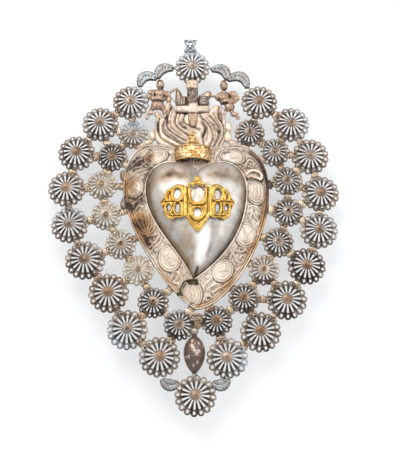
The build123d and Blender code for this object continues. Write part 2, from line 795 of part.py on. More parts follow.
def main():
    os.makedirs("parts", exist_ok=True)
    rosettes = rosette_table()
    outer = heart_places(border_left_shares, border_right_shares,
                         border_half_width, border_height, border_top)
    heart = heart_places(heart_left_shares, heart_right_shares, heart_half_width, heart_height, heart_top)
    write_rosettes(rosettes)
    plate = write_heart(outer, heart, rosettes)

    tabs = [make_tab(rosettes, a, b) for a, b in rosette_pairs()]
    tabs += [make_heart_tab(rosettes, n, outer) - plate for n in rosettes if n.startswith("inner")]
    write("link_tabs", group(tabs))
    write("hanging_finial", make_finial())

    lower = ("outer_left_9", "outer_right_9", "outer_bottom")
    brackets = [make_bracket(*b) for b in bottom_bracket_shares]
    write("bottom_brackets", group([clear_of(b, rosettes, lower) for b in brackets]))
    write("drop_hanger", strip((drop_axis, hanger_top), (drop_axis, hanger_low), hanger_width, 0, sheet))
    drop = relief((drop_axis, drop_middle), drop_half_width, drop_half_height, sheet, drop_depth, drop_sides)
    write("pod_drop", drop)
    inner = ("inner_left_8", "inner_right_8")
    bead = relief((drop_axis, bead_middle), bead_radius, bead_radius, sheet, bead_depth)
    knot = relief((knot_axis, knot_middle), knot_half_width, knot_half_height, sheet, knot_depth)
    write("pod_bead", clear_of(bead, rosettes, inner))
    write("tie_knot", clear_of(knot, rosettes, inner))

    bead_inner, lip = grown(outer, -bead_width), grown(heart, lip_width)
    wire, path = make_wire(tie_route(bead_inner, lip))
    end = tail_places()[0]
    solder = relief(end, solder_radius, solder_radius, border_level(end, bead_inner, lip), solder_depth)
    write("wire_tie", wire)
    write("solder_blob", solder - wire)
    print("wire length", round(path.length, 1), "least gap", round(least_gap(path), 2))


main()
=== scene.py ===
import json
import math
import bpy
import numpy as np
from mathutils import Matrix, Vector, geometry

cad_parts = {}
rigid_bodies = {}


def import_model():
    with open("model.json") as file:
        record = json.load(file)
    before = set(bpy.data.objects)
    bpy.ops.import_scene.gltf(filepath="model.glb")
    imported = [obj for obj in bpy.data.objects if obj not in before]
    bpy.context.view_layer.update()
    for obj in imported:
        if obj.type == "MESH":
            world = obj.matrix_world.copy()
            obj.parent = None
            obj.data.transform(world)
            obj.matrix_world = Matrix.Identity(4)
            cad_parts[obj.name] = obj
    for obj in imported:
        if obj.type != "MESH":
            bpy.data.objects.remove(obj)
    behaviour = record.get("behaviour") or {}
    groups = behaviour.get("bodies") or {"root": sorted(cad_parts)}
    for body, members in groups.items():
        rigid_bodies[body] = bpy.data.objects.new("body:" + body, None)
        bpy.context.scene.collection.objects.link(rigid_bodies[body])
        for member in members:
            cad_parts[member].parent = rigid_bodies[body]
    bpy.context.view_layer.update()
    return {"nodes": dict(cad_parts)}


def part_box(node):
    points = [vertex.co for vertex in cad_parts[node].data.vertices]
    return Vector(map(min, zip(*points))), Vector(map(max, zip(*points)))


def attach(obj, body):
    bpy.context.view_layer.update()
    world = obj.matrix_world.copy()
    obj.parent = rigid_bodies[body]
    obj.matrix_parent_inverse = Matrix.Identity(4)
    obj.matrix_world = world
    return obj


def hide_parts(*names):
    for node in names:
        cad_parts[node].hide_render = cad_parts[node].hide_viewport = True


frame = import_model()
mm = 0.001
print("frame loaded")


# small helpers: a place is (x, z) in mm on the wall, h is how far it stands in front of it

def worldPoints(points):
    p = np.asarray(points, float)
    return np.stack([p[:, 0], -p[:, 2], p[:, 1]], 1) * mm


# in a tone, red is dirt in the recesses and, on some pieces, painted shade; green a warm stain; blue a cool
# bloom and, on some pieces, a painted highlight
def makeMesh(name, points, faces, tones):
    mesh = bpy.data.meshes.new(name)
    mesh.from_pydata(worldPoints(points).tolist(), [], faces)
    mesh.shade_smooth()
    layer = mesh.attributes.new("tone", "FLOAT_COLOR", "POINT")
    colors = np.ones((len(points), 4))
    colors[:, :3] = tones
    layer.data.foreach_set("color", colors.ravel())
    mesh.update()
    piece = bpy.data.objects.new(name, mesh)
    bpy.context.scene.collection.objects.link(piece)
    return piece


def finishPiece(piece, material, slot, *replaced):
    piece.data.materials.append(material)
    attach(piece, "root")
    if replaced:
        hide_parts(*replaced)
    return piece


class Pile:  # gathers many small shapes into one mesh
    def __init__(self):
        self.points, self.faces, self.tones, self.count = [], [], [], 0

    def add(self, points, faces, tone=(0.0, 0.0, 0.0)):
        points = np.asarray(points, float)
        self.points.append(points)
        self.tones.append(np.broadcast_to(np.asarray(tone, float), (len(points), 3)))
        self.faces += [[i + self.count for i in f] for f in faces]
        self.count += len(points)

    def make(self, name):
        return makeMesh(name, np.vstack(self.points), self.faces, np.vstack(self.tones))


def gridFaces(rows, cols, closed=False):
    out = []
    for r in range(rows - 1):
        for c in range(cols if closed else cols - 1):
            d = (c + 1) % cols
            out.append([r * cols + c, r * cols + d, (r + 1) * cols + d, (r + 1) * cols + c])
    return out


def wander(points, size, seed, octaves=3):  # smooth wavy noise from -1 to 1
    rng = np.random.default_rng(seed)
    p = np.asarray(points, float)
    total, weight, amount = np.zeros(len(p)), 1.0, 0.0
    for _ in range(octaves):
        for _ in range(4):
            way = rng.normal(size=p.shape[1])
            way *= 2 * math.pi / (size * (0.7 + 0.6 * rng.random())) / np.linalg.norm(way)
            bend = rng.normal(size=p.shape[1]) / size
            first, second = 6.28 * rng.random(), 6.28 * rng.random()
            total += weight * np.sin(p @ way + first + 1.3 * np.sin(p @ bend * 3 + second))
        amount += weight * 2
        weight *= 0.5
        size *= 0.5
    return np.clip(total / amount, -1, 1)


def ease(low, high, value):
    t = np.clip((value - low) / (high - low), 0, 1)
    return t * t * (3 - 2 * t)


def bump(value, width):
    return np.exp(-(value / width) ** 2)


def bezier(a, b, c, d, count):
    t = np.linspace(0, 1, count)[:, None]
    a, b, c, d = (np.asarray(p, float) for p in (a, b, c, d))
    return a * (1 - t) ** 3 + 3 * b * t * (1 - t) ** 2 + 3 * c * t * t * (1 - t) + d * t ** 3


def spread(line, count):  # the same line with evenly spaced points
    line = np.asarray(line, float)
    lengths = np.concatenate([[0], np.cumsum(np.linalg.norm(np.diff(line, axis=0), axis=1))])
    s = np.linspace(0, lengths[-1], count)
    return np.stack([np.interp(s, lengths, line[:, k]) for k in range(line.shape[1])], 1)


def smoothLine(points, count, closed=False):  # a curve through given points
    p = np.asarray(points, float)
    n = len(p)
    out = []
    for i in range(n if closed else n - 1):
        if closed:
            a, b, c, d = p[i - 1], p[i], p[(i + 1) % n], p[(i + 2) % n]
        else:
            a, b, c, d = p[max(i - 1, 0)], p[i], p[i + 1], p[min(i + 2, n - 1)]
        for t in np.arange(0, 1, 0.1):
            cube = (3 * b - a - 3 * c + d) * t ** 3
            out.append(0.5 * (2 * b + (c - a) * t + (2 * a - 5 * b + 4 * c - d) * t * t + cube))
    if closed:
        return spread(out + [out[0]], count + 1)[:-1]
    return spread(out + [p[-1]], count)


def lineDistance(places, line):
    p = np.asarray(places, float)
    best = np.full(len(p), 1e9)
    line = np.asarray(line, float)
    for a, b in zip(line, line[1:]):
        ab = b - a
        t = np.clip(((p - a) @ ab) / (ab @ ab + 1e-12), 0, 1)
        best = np.minimum(best, np.linalg.norm(p - a - t[:, None] * ab, axis=1))
    return best


def inside(places, ring):
    p = np.asarray(places, float)
    hit = np.zeros(len(p), bool)
    for a, b in zip(ring, np.roll(ring, -1, axis=0)):
        crosses = (a[1] > p[:, 1]) != (b[1] > p[:, 1])
        with np.errstate(divide="ignore", invalid="ignore"):
            x = a[0] + (p[:, 1] - a[1]) * (b[0] - a[0]) / (b[1] - a[1])
        hit ^= crosses & (p[:, 0] < x)
    return hit


def ovalRing(centre, rx, rz, turn, count):
    a = np.linspace(0, 2 * math.pi, count, endpoint=False)
    c, s = math.cos(math.radians(turn)), math.sin(math.radians(turn))
    u, v = rx * np.cos(a), rz * np.sin(a)
    return np.stack([centre[0] + u * c - v * s, centre[1] + u * s + v * c], 1)


def sheetMesh(outline, holes, spacing):  # a flat sheet with holes, triangulated evenly
    rings = [np.asarray(outline, float)] + [np.asarray(h, float) for h in holes]
    low, high = rings[0].min(0), rings[0].max(0)
    rows = np.arange(low[1], high[1], spacing * 0.87)
    inner = []
    for r, z in enumerate(rows):
        x = np.arange(low[0] + (r % 2) * spacing / 2, high[0], spacing)
        inner.append(np.column_stack([x, np.full(len(x), z)]))
    inner = np.vstack(inner)
    keep = inside(inner, rings[0])
    for ring in rings:
        keep &= lineDistance(inner, np.vstack([ring, ring[:1]])) > spacing * 0.45
    for ring in rings[1:]:
        keep &= ~inside(inner, ring)
    edges, start = [], 0
    for ring in rings:
        n = len(ring)
        edges += [(start + k, start + (k + 1) % n) for k in range(n)]
        start += n
    places = np.vstack(rings + [inner[keep]])
    out, _, tris, *_ = geometry.delaunay_2d_cdt([Vector(p) for p in places], edges, [], 0, 1e-6)
    places = np.array([tuple(v) for v in out])
    tris = np.array(tris)
    mid = places[tris].mean(1)
    keep = inside(mid, rings[0])
    for ring in rings[1:]:
        keep &= ~inside(mid, ring)
    tris = tris[keep]
    used = np.unique(tris)
    order = np.full(len(places), -1)
    order[used] = np.arange(len(used))
    tris = order[tris]
    places = places[used]
    a, b, c = places[tris[:, 0]], places[tris[:, 1]], places[tris[:, 2]]
    flip = ((b - a)[:, 0] * (c - a)[:, 1] - (b - a)[:, 1] * (c - a)[:, 0]) < 0
    tris[flip] = tris[flip][:, ::-1]
    return places, tris


def thicken(places, faces, top, under):  # front and back skins, joined round every edge
    n = len(places)
    faces = [list(map(int, f)) for f in faces]
    count = {}
    for f in faces:
        for a, b in zip(f, f[1:] + f[:1]):
            count[(a, b)] = 1
    walls = [[a, a + n, b + n, b] for a, b in count if (b, a) not in count]
    back = [[i + n for i in reversed(f)] for f in faces]
    points = np.vstack([np.column_stack([places, top]), np.column_stack([places, under])])
    return points, faces + back + walls


def tube(line, radii, sides, flat=1.0):  # a round or flattened tube with closed ends
    line = np.asarray(line, float)
    n = len(line)
    radii = np.broadcast_to(np.asarray(radii, float), (n,))
    ways = np.gradient(line, axis=0)
    ways /= np.linalg.norm(ways, axis=1)[:, None] + 1e-9
    a = np.linspace(0, 2 * math.pi, sides, endpoint=False)
    points = []
    side = None
    for k in range(n):
        if side is None:
            side = np.cross(ways[k], [0.0, 0.0, 1.0])
            if np.linalg.norm(side) < 0.1:
                side = np.cross(ways[k], [1.0, 0.3, 0.0])
        side = side - ways[k] * (side @ ways[k])
        side /= np.linalg.norm(side)
        lift = np.cross(side, ways[k])
        points.append(line[k] + radii[k] * (np.cos(a)[:, None] * side + flat * np.sin(a)[:, None] * lift))
    faces = gridFaces(n, sides, True)
    faces += [list(range(sides))[::-1], list(range((n - 1) * sides, n * sides))]
    return np.vstack(points), faces


def domeCap(centre, rx, rz, low, depth, turn, rings, sides, fullness):  # a closed low dome
    points = []
    for k in range(rings):
        a = math.pi / 2 * k / rings
        ring = ovalRing(centre, rx * math.cos(a), rz * math.cos(a), turn, sides)
        points.append(np.column_stack([ring, np.full(sides, low + depth * math.sin(a) ** fullness)]))
    points = np.vstack([*points, [[centre[0], centre[1], low + depth]]])
    faces = gridFaces(rings, sides, True)
    top = rings * sides
    faces += [[top - sides + k, top - sides + (k + 1) % sides, top] for k in range(sides)]
    faces.append(list(range(sides))[::-1])
    return points, faces


def ball(centre, radii, sides, rings):
    points = [[centre[0], centre[1], centre[2] - radii[2]]]
    for k in range(1, rings):
        a = math.pi * k / rings
        ring = ovalRing(centre[:2], radii[0] * math.sin(a), radii[1] * math.sin(a), 0, sides)
        points += np.column_stack([ring, np.full(sides, centre[2] - radii[2] * math.cos(a))]).tolist()
    points.append([centre[0], centre[1], centre[2] + radii[2]])
    faces = [[i + 1 for i in f] for f in gridFaces(rings - 1, sides, True)]
    last = len(points) - 1
    faces += [[0, 1 + (k + 1) % sides, 1 + k] for k in range(sides)]
    faces += [[last - sides + k, last - sides + (k + 1) % sides, last] for k in range(sides)]
    return np.array(points), faces


# materials

def shade(code):  # a colour as it is written on screen, turned into light values
    v = [int(code[k:k + 2], 16) / 255 for k in (1, 3, 5)]
    return [c / 12.92 if c < 0.04045 else ((c + 0.055) / 1.055) ** 2.4 for c in v] + [1.0]


def newGroup(name, ins, outs):
    tree = bpy.data.node_groups.new(name, "ShaderNodeTree")
    kinds = {"c": "NodeSocketColor", "f": "NodeSocketFloat", "v": "NodeSocketVector"}
    for label, kind, value in ins:
        socket = tree.interface.new_socket(label, in_out="INPUT", socket_type=kinds[kind])
        socket.default_value = value
    for label, kind in outs:
        tree.interface.new_socket(label, in_out="OUTPUT", socket_type=kinds[kind])
    return tree, tree.nodes.new("NodeGroupInput"), tree.nodes.new("NodeGroupOutput")


def mixColor(tree, factor, a, b):
    node = tree.nodes.new("ShaderNodeMix")
    node.data_type = "RGBA"
    for index, value in ((0, factor), (6, a), (7, b)):
        if isinstance(value, (int, float, list, tuple)):
            node.inputs[index].default_value = value
        else:
            tree.links.new(value, node.inputs[index])
    return node.outputs[2]


def sums(tree, operation, a, b, clamp=False):
    node = tree.nodes.new("ShaderNodeMath")
    node.operation = operation
    node.use_clamp = clamp
    for index, value in ((0, a), (1, b)):
        if isinstance(value, (int, float)):
            node.inputs[index].default_value = value
        else:
            tree.links.new(value, node.inputs[index])
    return node.outputs[0]


def ramp(tree, value, low, high, outLow=0.0, outHigh=1.0):
    node = tree.nodes.new("ShaderNodeMapRange")
    node.interpolation_type = "SMOOTHSTEP"
    tree.links.new(value, node.inputs[0])
    for index, number in enumerate((low, high, outLow, outHigh), 1):
        node.inputs[index].default_value = number
    return node.outputs[0]


def noise(tree, place, scale, detail=3.0, rough=0.55):
    node = tree.nodes.new("ShaderNodeTexNoise")
    tree.links.new(place, node.inputs["Vector"])
    if isinstance(scale, (int, float)):
        node.inputs["Scale"].default_value = scale
    else:
        tree.links.new(scale, node.inputs["Scale"])
    node.inputs["Detail"].default_value = detail
    node.inputs["Roughness"].default_value = rough
    return node.outputs[0]


# the colour of old metal: clean crests, warm stain, cool bloom and dirt in the recesses; the dirt colour also
# paints shade, and on some metals the cool colour paints highlights
def makePatinaGroup():
    ins = [("Clean", "c", shade("#cdbfae")), ("Warm", "c", shade("#a08468")), ("Cool", "c", shade("#b4bcc6")),
           ("Dirtandshade", "c", shade("#2e2722")), ("Grain", "f", 900.0), ("Warm Amount", "f", 0.3),
           ("Dirt Amount", "f", 0.3)]
    tree, into, out = newGroup("oldMetalColor", ins, [("Color", "c"), ("Dullness", "f")])
    get = into.outputs
    place = tree.nodes.new("ShaderNodeTexCoord").outputs["Object"]
    tone = tree.nodes.new("ShaderNodeAttribute")
    tone.attribute_name = "tone"
    parts = tree.nodes.new("ShaderNodeSeparateColor")
    tree.links.new(tone.outputs["Color"], parts.inputs[0])
    wide = noise(tree, place, sums(tree, "MULTIPLY", get["Grain"], 0.12), 3.0)
    fine = noise(tree, place, get["Grain"], 4.0, 0.65)
    clouds = sums(tree, "MULTIPLY", ramp(tree, wide, 0.42, 0.66), get["Warm Amount"])
    warm = sums(tree, "ADD", clouds, parts.outputs[1], True)
    color = mixColor(tree, warm, get["Clean"], get["Warm"])
    color = mixColor(tree, parts.outputs[2], color, get["Cool"])
    specks = sums(tree, "MULTIPLY", ramp(tree, fine, 0.56, 0.72), get["Dirt Amount"])
    broken = ramp(tree, fine, 0.25, 0.62, 0.55, 1.15)
    # the red tone: dirt, and painted shade on the pieces that paint it
    dirtAndShade = sums(tree, "ADD", sums(tree, "MULTIPLY", parts.outputs[0], broken), specks, True)
    color = mixColor(tree, dirtAndShade, color, get["Dirtandshade"])
    dull = sums(tree, "ADD", sums(tree, "MULTIPLY", dirtAndShade, 0.6), sums(tree, "MULTIPLY", fine, 0.4), True)
    tree.links.new(color, out.inputs["Color"])
    tree.links.new(dull, out.inputs["Dullness"])
    return tree


def makeBeatenGroup():  # the fine unevenness of beaten and handled sheet
    ins = [("Size", "f", 500.0), ("Scratch", "f", 0.3)]
    tree, into, out = newGroup("beatenSheet", ins, [("Height", "f")])
    place = tree.nodes.new("ShaderNodeTexCoord").outputs["Object"]
    soft = noise(tree, place, into.outputs["Size"], 2.0, 0.5)
    fine = noise(tree, place, sums(tree, "MULTIPLY", into.outputs["Size"], 6.0), 3.0, 0.6)
    stretch = tree.nodes.new("ShaderNodeMapping")
    stretch.inputs["Scale"].default_value = (1.0, 1.0, 0.06)
    stretch.inputs["Rotation"].default_value = (0.0, 0.5, 0.0)
    tree.links.new(place, stretch.inputs["Vector"])
    lines = noise(tree, stretch.outputs[0], sums(tree, "MULTIPLY", into.outputs["Size"], 8.0), 2.0, 0.5)
    height = sums(tree, "ADD", soft, sums(tree, "MULTIPLY", fine, 0.25))
    height = sums(tree, "ADD", height, sums(tree, "MULTIPLY", lines, into.outputs["Scratch"]))
    tree.links.new(height, out.inputs["Height"])
    return tree


patinaGroup = makePatinaGroup()
beatenGroup = makeBeatenGroup()


def oldMetal(name, look):
    material = bpy.data.materials.new(name)
    material.use_nodes = True
    tree = material.node_tree
    shader = tree.nodes["Principled BSDF"]
    color = tree.nodes.new("ShaderNodeGroup")
    color.node_tree = patinaGroup
    for key in ("clean", "warm", "cool", "dirtAndShade"):
        color.inputs[key.title()].default_value = shade(look[key])
    color.inputs["Grain"].default_value = look["grain"]
    color.inputs["Warm Amount"].default_value = look["warmAmount"]
    color.inputs["Dirt Amount"].default_value = look["dirtAmount"]
    tree.links.new(color.outputs["Color"], shader.inputs["Base Color"])
    rough = tree.nodes.new("ShaderNodeMapRange")
    rough.inputs["To Min"].default_value, rough.inputs["To Max"].default_value = look["rough"]
    tree.links.new(color.outputs["Dullness"], rough.inputs["Value"])
    tree.links.new(rough.outputs[0], shader.inputs["Roughness"])
    shader.inputs["Metallic"].default_value = look["metallic"]
    beaten = tree.nodes.new("ShaderNodeGroup")
    beaten.node_tree = beatenGroup
    beaten.inputs["Size"].default_value = look.get("beatenSize", 500.0)
    beaten.inputs["Scratch"].default_value = look.get("scratch", 0.3)
    lift = tree.nodes.new("ShaderNodeBump")
    lift.inputs["Strength"].default_value = look["bump"]
    lift.inputs["Distance"].default_value = look.get("bumpDepth", 0.0004)
    tree.links.new(beaten.outputs["Height"], lift.inputs["Height"])
    tree.links.new(lift.outputs[0], shader.inputs["Normal"])
    return material


finishes = {
    "rosetteSilver": {"clean": "#bcaea0", "warm": "#9a785c", "cool": "#cbd5dc", "dirtAndShade": "#25201e",
                      "rough": (0.28, 0.6), "metallic": 0.85, "grain": 1100.0, "warmAmount": 0.45,
                      "dirtAmount": 0.35, "bump": 0.25},
    "creamSilver": {"clean": "#dccdb8", "warm": "#ab8e72", "cool": "#b9c0c8", "dirtAndShade": "#3a2f28",
                    "rough": (0.3, 0.62), "metallic": 0.7, "grain": 900.0, "warmAmount": 0.45,
                    "dirtAmount": 0.25, "bump": 0.3},
    "borderSilver": {"clean": "#efe2d3", "warm": "#c49b6c", "cool": "#54383a", "dirtAndShade": "#45342b",
                     "rough": (0.40, 0.7), "metallic": 0.45, "grain": 420.0, "warmAmount": 0.25,
                     "dirtAmount": 0.08, "bump": 0.3},
    # heartSilver's near-white cool colour is the dome's painted highlight
    "heartSilver": {"clean": "#c3c0bc", "warm": "#a8937c", "cool": "#fffcf6", "dirtAndShade": "#5b4b3f",
                    "rough": (0.46, 0.66), "metallic": 0.9, "grain": 160.0, "warmAmount": 0.55,
                    "dirtAmount": 0.12, "bump": 0.18, "beatenSize": 90.0, "bumpDepth": 0.0012,
                    "scratch": 0.1},
    "leafSilver": {"clean": "#a4a29d", "warm": "#8d7b6a", "cool": "#b3c1cb", "dirtAndShade": "#242326",
                   "rough": (0.3, 0.6), "metallic": 0.75, "grain": 1300.0, "warmAmount": 0.25,
                   "dirtAmount": 0.35, "bump": 0.5},
    "yellowGilt": {"clean": "#f8d67a", "warm": "#dca043", "cool": "#fbf0c4", "dirtAndShade": "#5d4014",
                   "rough": (0.25, 0.5), "metallic": 0.9, "grain": 700.0, "warmAmount": 0.5,
                   "dirtAmount": 0.2, "bump": 0.3},
    "orangeGilt": {"clean": "#d8bb88", "warm": "#b8894f", "cool": "#f8e7bd", "dirtAndShade": "#6b4726",
                   "rough": (0.22, 0.5), "metallic": 0.9, "grain": 1500.0, "warmAmount": 0.6,
                   "dirtAmount": 0.3, "bump": 0.4},
    # warmCopper's pale cream cool colour paints highlights on the figures' crests
    "warmCopper": {"clean": "#b59a84", "warm": "#946f58", "cool": "#f0dfcc", "dirtAndShade": "#201813",
                   "rough": (0.3, 0.6), "metallic": 0.8, "grain": 1200.0, "warmAmount": 0.5,
                   "dirtAmount": 0.4, "bump": 0.3},
    "oliveWire": {"clean": "#3b3726", "warm": "#5b4c2a", "cool": "#4f5a3c", "dirtAndShade": "#12110c",
                  "rough": (0.35, 0.6), "metallic": 0.6, "grain": 1500.0, "warmAmount": 0.4,
                  "dirtAmount": 0.3, "bump": 0.2},
    # darkCone's cool colour paints highlights on the pod's pearls
    "darkCone": {"clean": "#6f655e", "warm": "#80604e", "cool": "#cfbcb0", "dirtAndShade": "#1d1815",
                 "rough": (0.25, 0.6), "metallic": 0.8, "grain": 1500.0, "warmAmount": 0.5, "dirtAmount": 0.6,
                 "bump": 0.4},
}
metals = {name: oldMetal(name, look) for name, look in finishes.items()}
print("materials made")


# camera, wall, floor and lamps

view = {"place": (6.63, -665.7, -353.2), "aim": (6.63, 0.0, -136.85), "lens": 82.94, "sensor": 36.0,
        "photo": (400, 466), "near": 0.01, "far": 50.0}
studio = {"wall": 14.0, "wallSize": 3000.0, "floorDrop": -620.0, "wallColor": "#fafafa", "ambient": 0.62,
          "holeColor": "#f4f7fa", "ownLight": 0.5, "floorSize": 12000.0, "floorLight": 0.85,
          "lampAim": -130.0}
lamps = {"keyLamp": {"place": (-190.0, -560.0, 270.0), "size": (640.0, 420.0), "power": 3.5},
         "sideLamp": {"place": (620.0, -500.0, 60.0), "size": (500.0, 500.0), "power": 2.0},
         "backLamp": {"place": (250.0, 700.0, 200.0), "size": (700.0, 700.0), "power": 5.0}}


def makeCamera():
    data = bpy.data.cameras.new("photoCamera")
    data.lens = view["lens"]
    data.clip_start, data.clip_end = view["near"], view["far"]
    camera = bpy.data.objects.new("photoCamera", data)
    bpy.context.scene.collection.objects.link(camera)
    camera.location = Vector(view["place"]) * mm
    camera.rotation_euler = (Vector(view["aim"]) - Vector(view["place"])).to_track_quat("-Z", "Y").to_euler()
    bpy.context.scene.camera = camera


def stagePlane(name, corners, material):
    mesh = bpy.data.meshes.new(name)
    mesh.from_pydata([Vector(c) * mm for c in corners], [], [(0, 1, 2, 3)])
    plane = bpy.data.objects.new(name, mesh)
    bpy.context.scene.collection.objects.link(plane)
    mesh.materials.append(material)


# a board that is lit as paint from the front, and clear from behind so that the back can be seen
def makePaint(name, paint, ownLight):
    material = bpy.data.materials.new(name)
    material.use_nodes = True
    tree = material.node_tree
    out = tree.nodes["Material Output"]
    shader = tree.nodes["Principled BSDF"]
    shader.inputs["Base Color"].default_value = shade(paint)
    shader.inputs["Roughness"].default_value = 0.9
    clear = tree.nodes.new("ShaderNodeBsdfTransparent")
    path = tree.nodes.new("ShaderNodeLightPath")
    facing = tree.nodes.new("ShaderNodeNewGeometry")
    passes = sums(tree, "MAXIMUM", facing.outputs["Backfacing"], path.outputs["Is Shadow Ray"])
    own = tree.nodes.new("ShaderNodeEmission")
    own.inputs["Color"].default_value = shade(studio["holeColor"])
    held = tree.nodes.new("ShaderNodeMixShader")
    seen = sums(tree, "MAXIMUM", path.outputs["Is Camera Ray"], path.outputs["Is Glossy Ray"])
    seen = sums(tree, "MAXIMUM", seen, path.outputs["Is Transmission Ray"])
    tree.links.new(sums(tree, "MULTIPLY", seen, ownLight), held.inputs[0])
    tree.links.new(shader.outputs[0], held.inputs[1])
    tree.links.new(own.outputs[0], held.inputs[2])
    mix = tree.nodes.new("ShaderNodeMixShader")
    tree.links.new(passes, mix.inputs[0])
    tree.links.new(held.outputs[0], mix.inputs[1])
    tree.links.new(clear.outputs[0], mix.inputs[2])
    tree.links.new(mix.outputs[0], out.inputs["Surface"])
    return material


def makeStage():
    w, y, z = studio["wallSize"], studio["wall"], studio["floorDrop"]
    wall = makePaint("wallPaint", studio["wallColor"], studio["ownLight"])
    stagePlane("wallBoard", [(-w, y, z), (w, y, z), (w, y, w), (-w, y, w)], wall)
    w = studio["floorSize"]
    floor = makePaint("floorPaint", studio["wallColor"], studio["floorLight"])
    stagePlane("floorBoard", [(-w, -w, z), (w, -w, z), (w, w, z), (-w, w, z)], floor)


def makeLamps():
    for name, lamp in lamps.items():
        data = bpy.data.lights.new(name, "AREA")
        data.shape = "RECTANGLE"
        data.size, data.size_y = (s * mm for s in lamp["size"])
        data.energy = lamp["power"]
        light = bpy.data.objects.new(name, data)
        bpy.context.scene.collection.objects.link(light)
        light.location = Vector(lamp["place"]) * mm
        aim = Vector((0, 0, studio["lampAim"] * mm))
        light.rotation_euler = (aim - light.location).to_track_quat("-Z", "Y").to_euler()
    world = bpy.data.worlds.new("studioAir")
    bpy.context.scene.world = world
    world.use_nodes = True
    tree = world.node_tree
    air = tree.nodes["Background"]
    path = tree.nodes.new("ShaderNodeLightPath")
    seen = sums(tree, "MAXIMUM", path.outputs["Is Camera Ray"], path.outputs["Is Transmission Ray"])
    seen = sums(tree, "MAXIMUM", seen, path.outputs["Is Glossy Ray"])
    level = tree.nodes.new("ShaderNodeMapRange")
    level.inputs["To Min"].default_value = studio["ambient"]
    tree.links.new(seen, level.inputs["Value"])
    tree.links.new(level.outputs[0], air.inputs["Strength"])
    air.inputs["Color"].default_value = (1, 1, 1, 1)


bpy.context.scene.view_settings.view_transform = "Standard"
makeCamera()
makeStage()
makeLamps()
print("camera, wall and lamps ready")


# the place (x, z) that the photograph shows at a pixel, on a plane h in front of the wall
def seenAt(px, py, h):
    start = np.array(view["place"])
    ahead = np.array(view["aim"]) - start
    ahead /= np.linalg.norm(ahead)
    up = np.cross([1.0, 0.0, 0.0], ahead)
    wide, high = view["photo"]
    focal = view["lens"] / view["sensor"] * high
    ray = ahead + np.array([1.0, 0.0, 0.0]) * (px - wide / 2) / focal - up * (py - high / 2) / focal
    t = (-h - start[1]) / ray[1]
    return start[0] + t * ray[0], start[2] + t * ray[2]


def seenLine(pixels, h):
    return np.array([seenAt(px, py, h) for px, py in pixels])


def centreOf(node):
    low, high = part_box(node)
    return np.array([(low.x + high.x) / 2, (low.z + high.z) / 2]) / mm


# rosettes

rosette = {"petals": 16, "lobeAt": 0.83, "lobeRadius": 0.17, "holeAt": 0.83, "holeRadius": 0.068,
           "outerSlotFrom": 0.27, "innerSlotFrom": 0.37, "slotTo": 0.64, "slotNarrow": 0.026,
           "slotWide": 0.056, "flute": 0.50, "lobeDish": 0.35, "sheet": 0.55, "rimLevel": 1.55,
           "spacing": 0.052, "outerRise": 5.6, "innerRise": 4.2, "innerRadius": 10.2, "topRadius": 12.0,
           "smallRadius": 12.42, "largeRadius": 13.1, "largeFrom": {"left": 6, "right": 7}, "hub": 0.2,
           "fluteFrom": 0.26, "lean": 0.25, "bend": 0.22}


def rosetteTemplate(slotFrom):
    d = rosette
    n = d["petals"]
    rim, holes = [], []
    half = math.pi / n
    reach = math.pi / 2 + half - math.acos(d["lobeAt"] * math.sin(half) / d["lobeRadius"])
    for k in range(n):
        b = 2 * math.pi * (k + 0.5) / n
        centre = d["lobeAt"] * np.array([math.cos(b), math.sin(b)])
        for a in np.linspace(-reach, reach, 9)[:-1]:
            rim.append(centre + d["lobeRadius"] * np.array([math.cos(b + a), math.sin(b + a)]))
        out, across = np.array([math.cos(b), math.sin(b)]), np.array([-math.sin(b), math.cos(b)])
        hole = [d["holeAt"] * out + d["holeRadius"] * (math.cos(a) * out * 1.15 + math.sin(a) * across)
                for a in np.linspace(0, 2 * math.pi, 10, endpoint=False)]
        slot = [slotFrom * out - d["slotNarrow"] * across]
        slot += [d["slotTo"] * out + d["slotWide"] * (math.sin(a) * across + 0.8 * math.cos(a) * out)
                 for a in np.linspace(-math.pi / 2, math.pi / 2, 7)]
        slot += [slotFrom * out + d["slotNarrow"] * across]
        holes += [np.array(hole), np.array(slot)]
    return sheetMesh(np.array(rim), holes, d["spacing"])


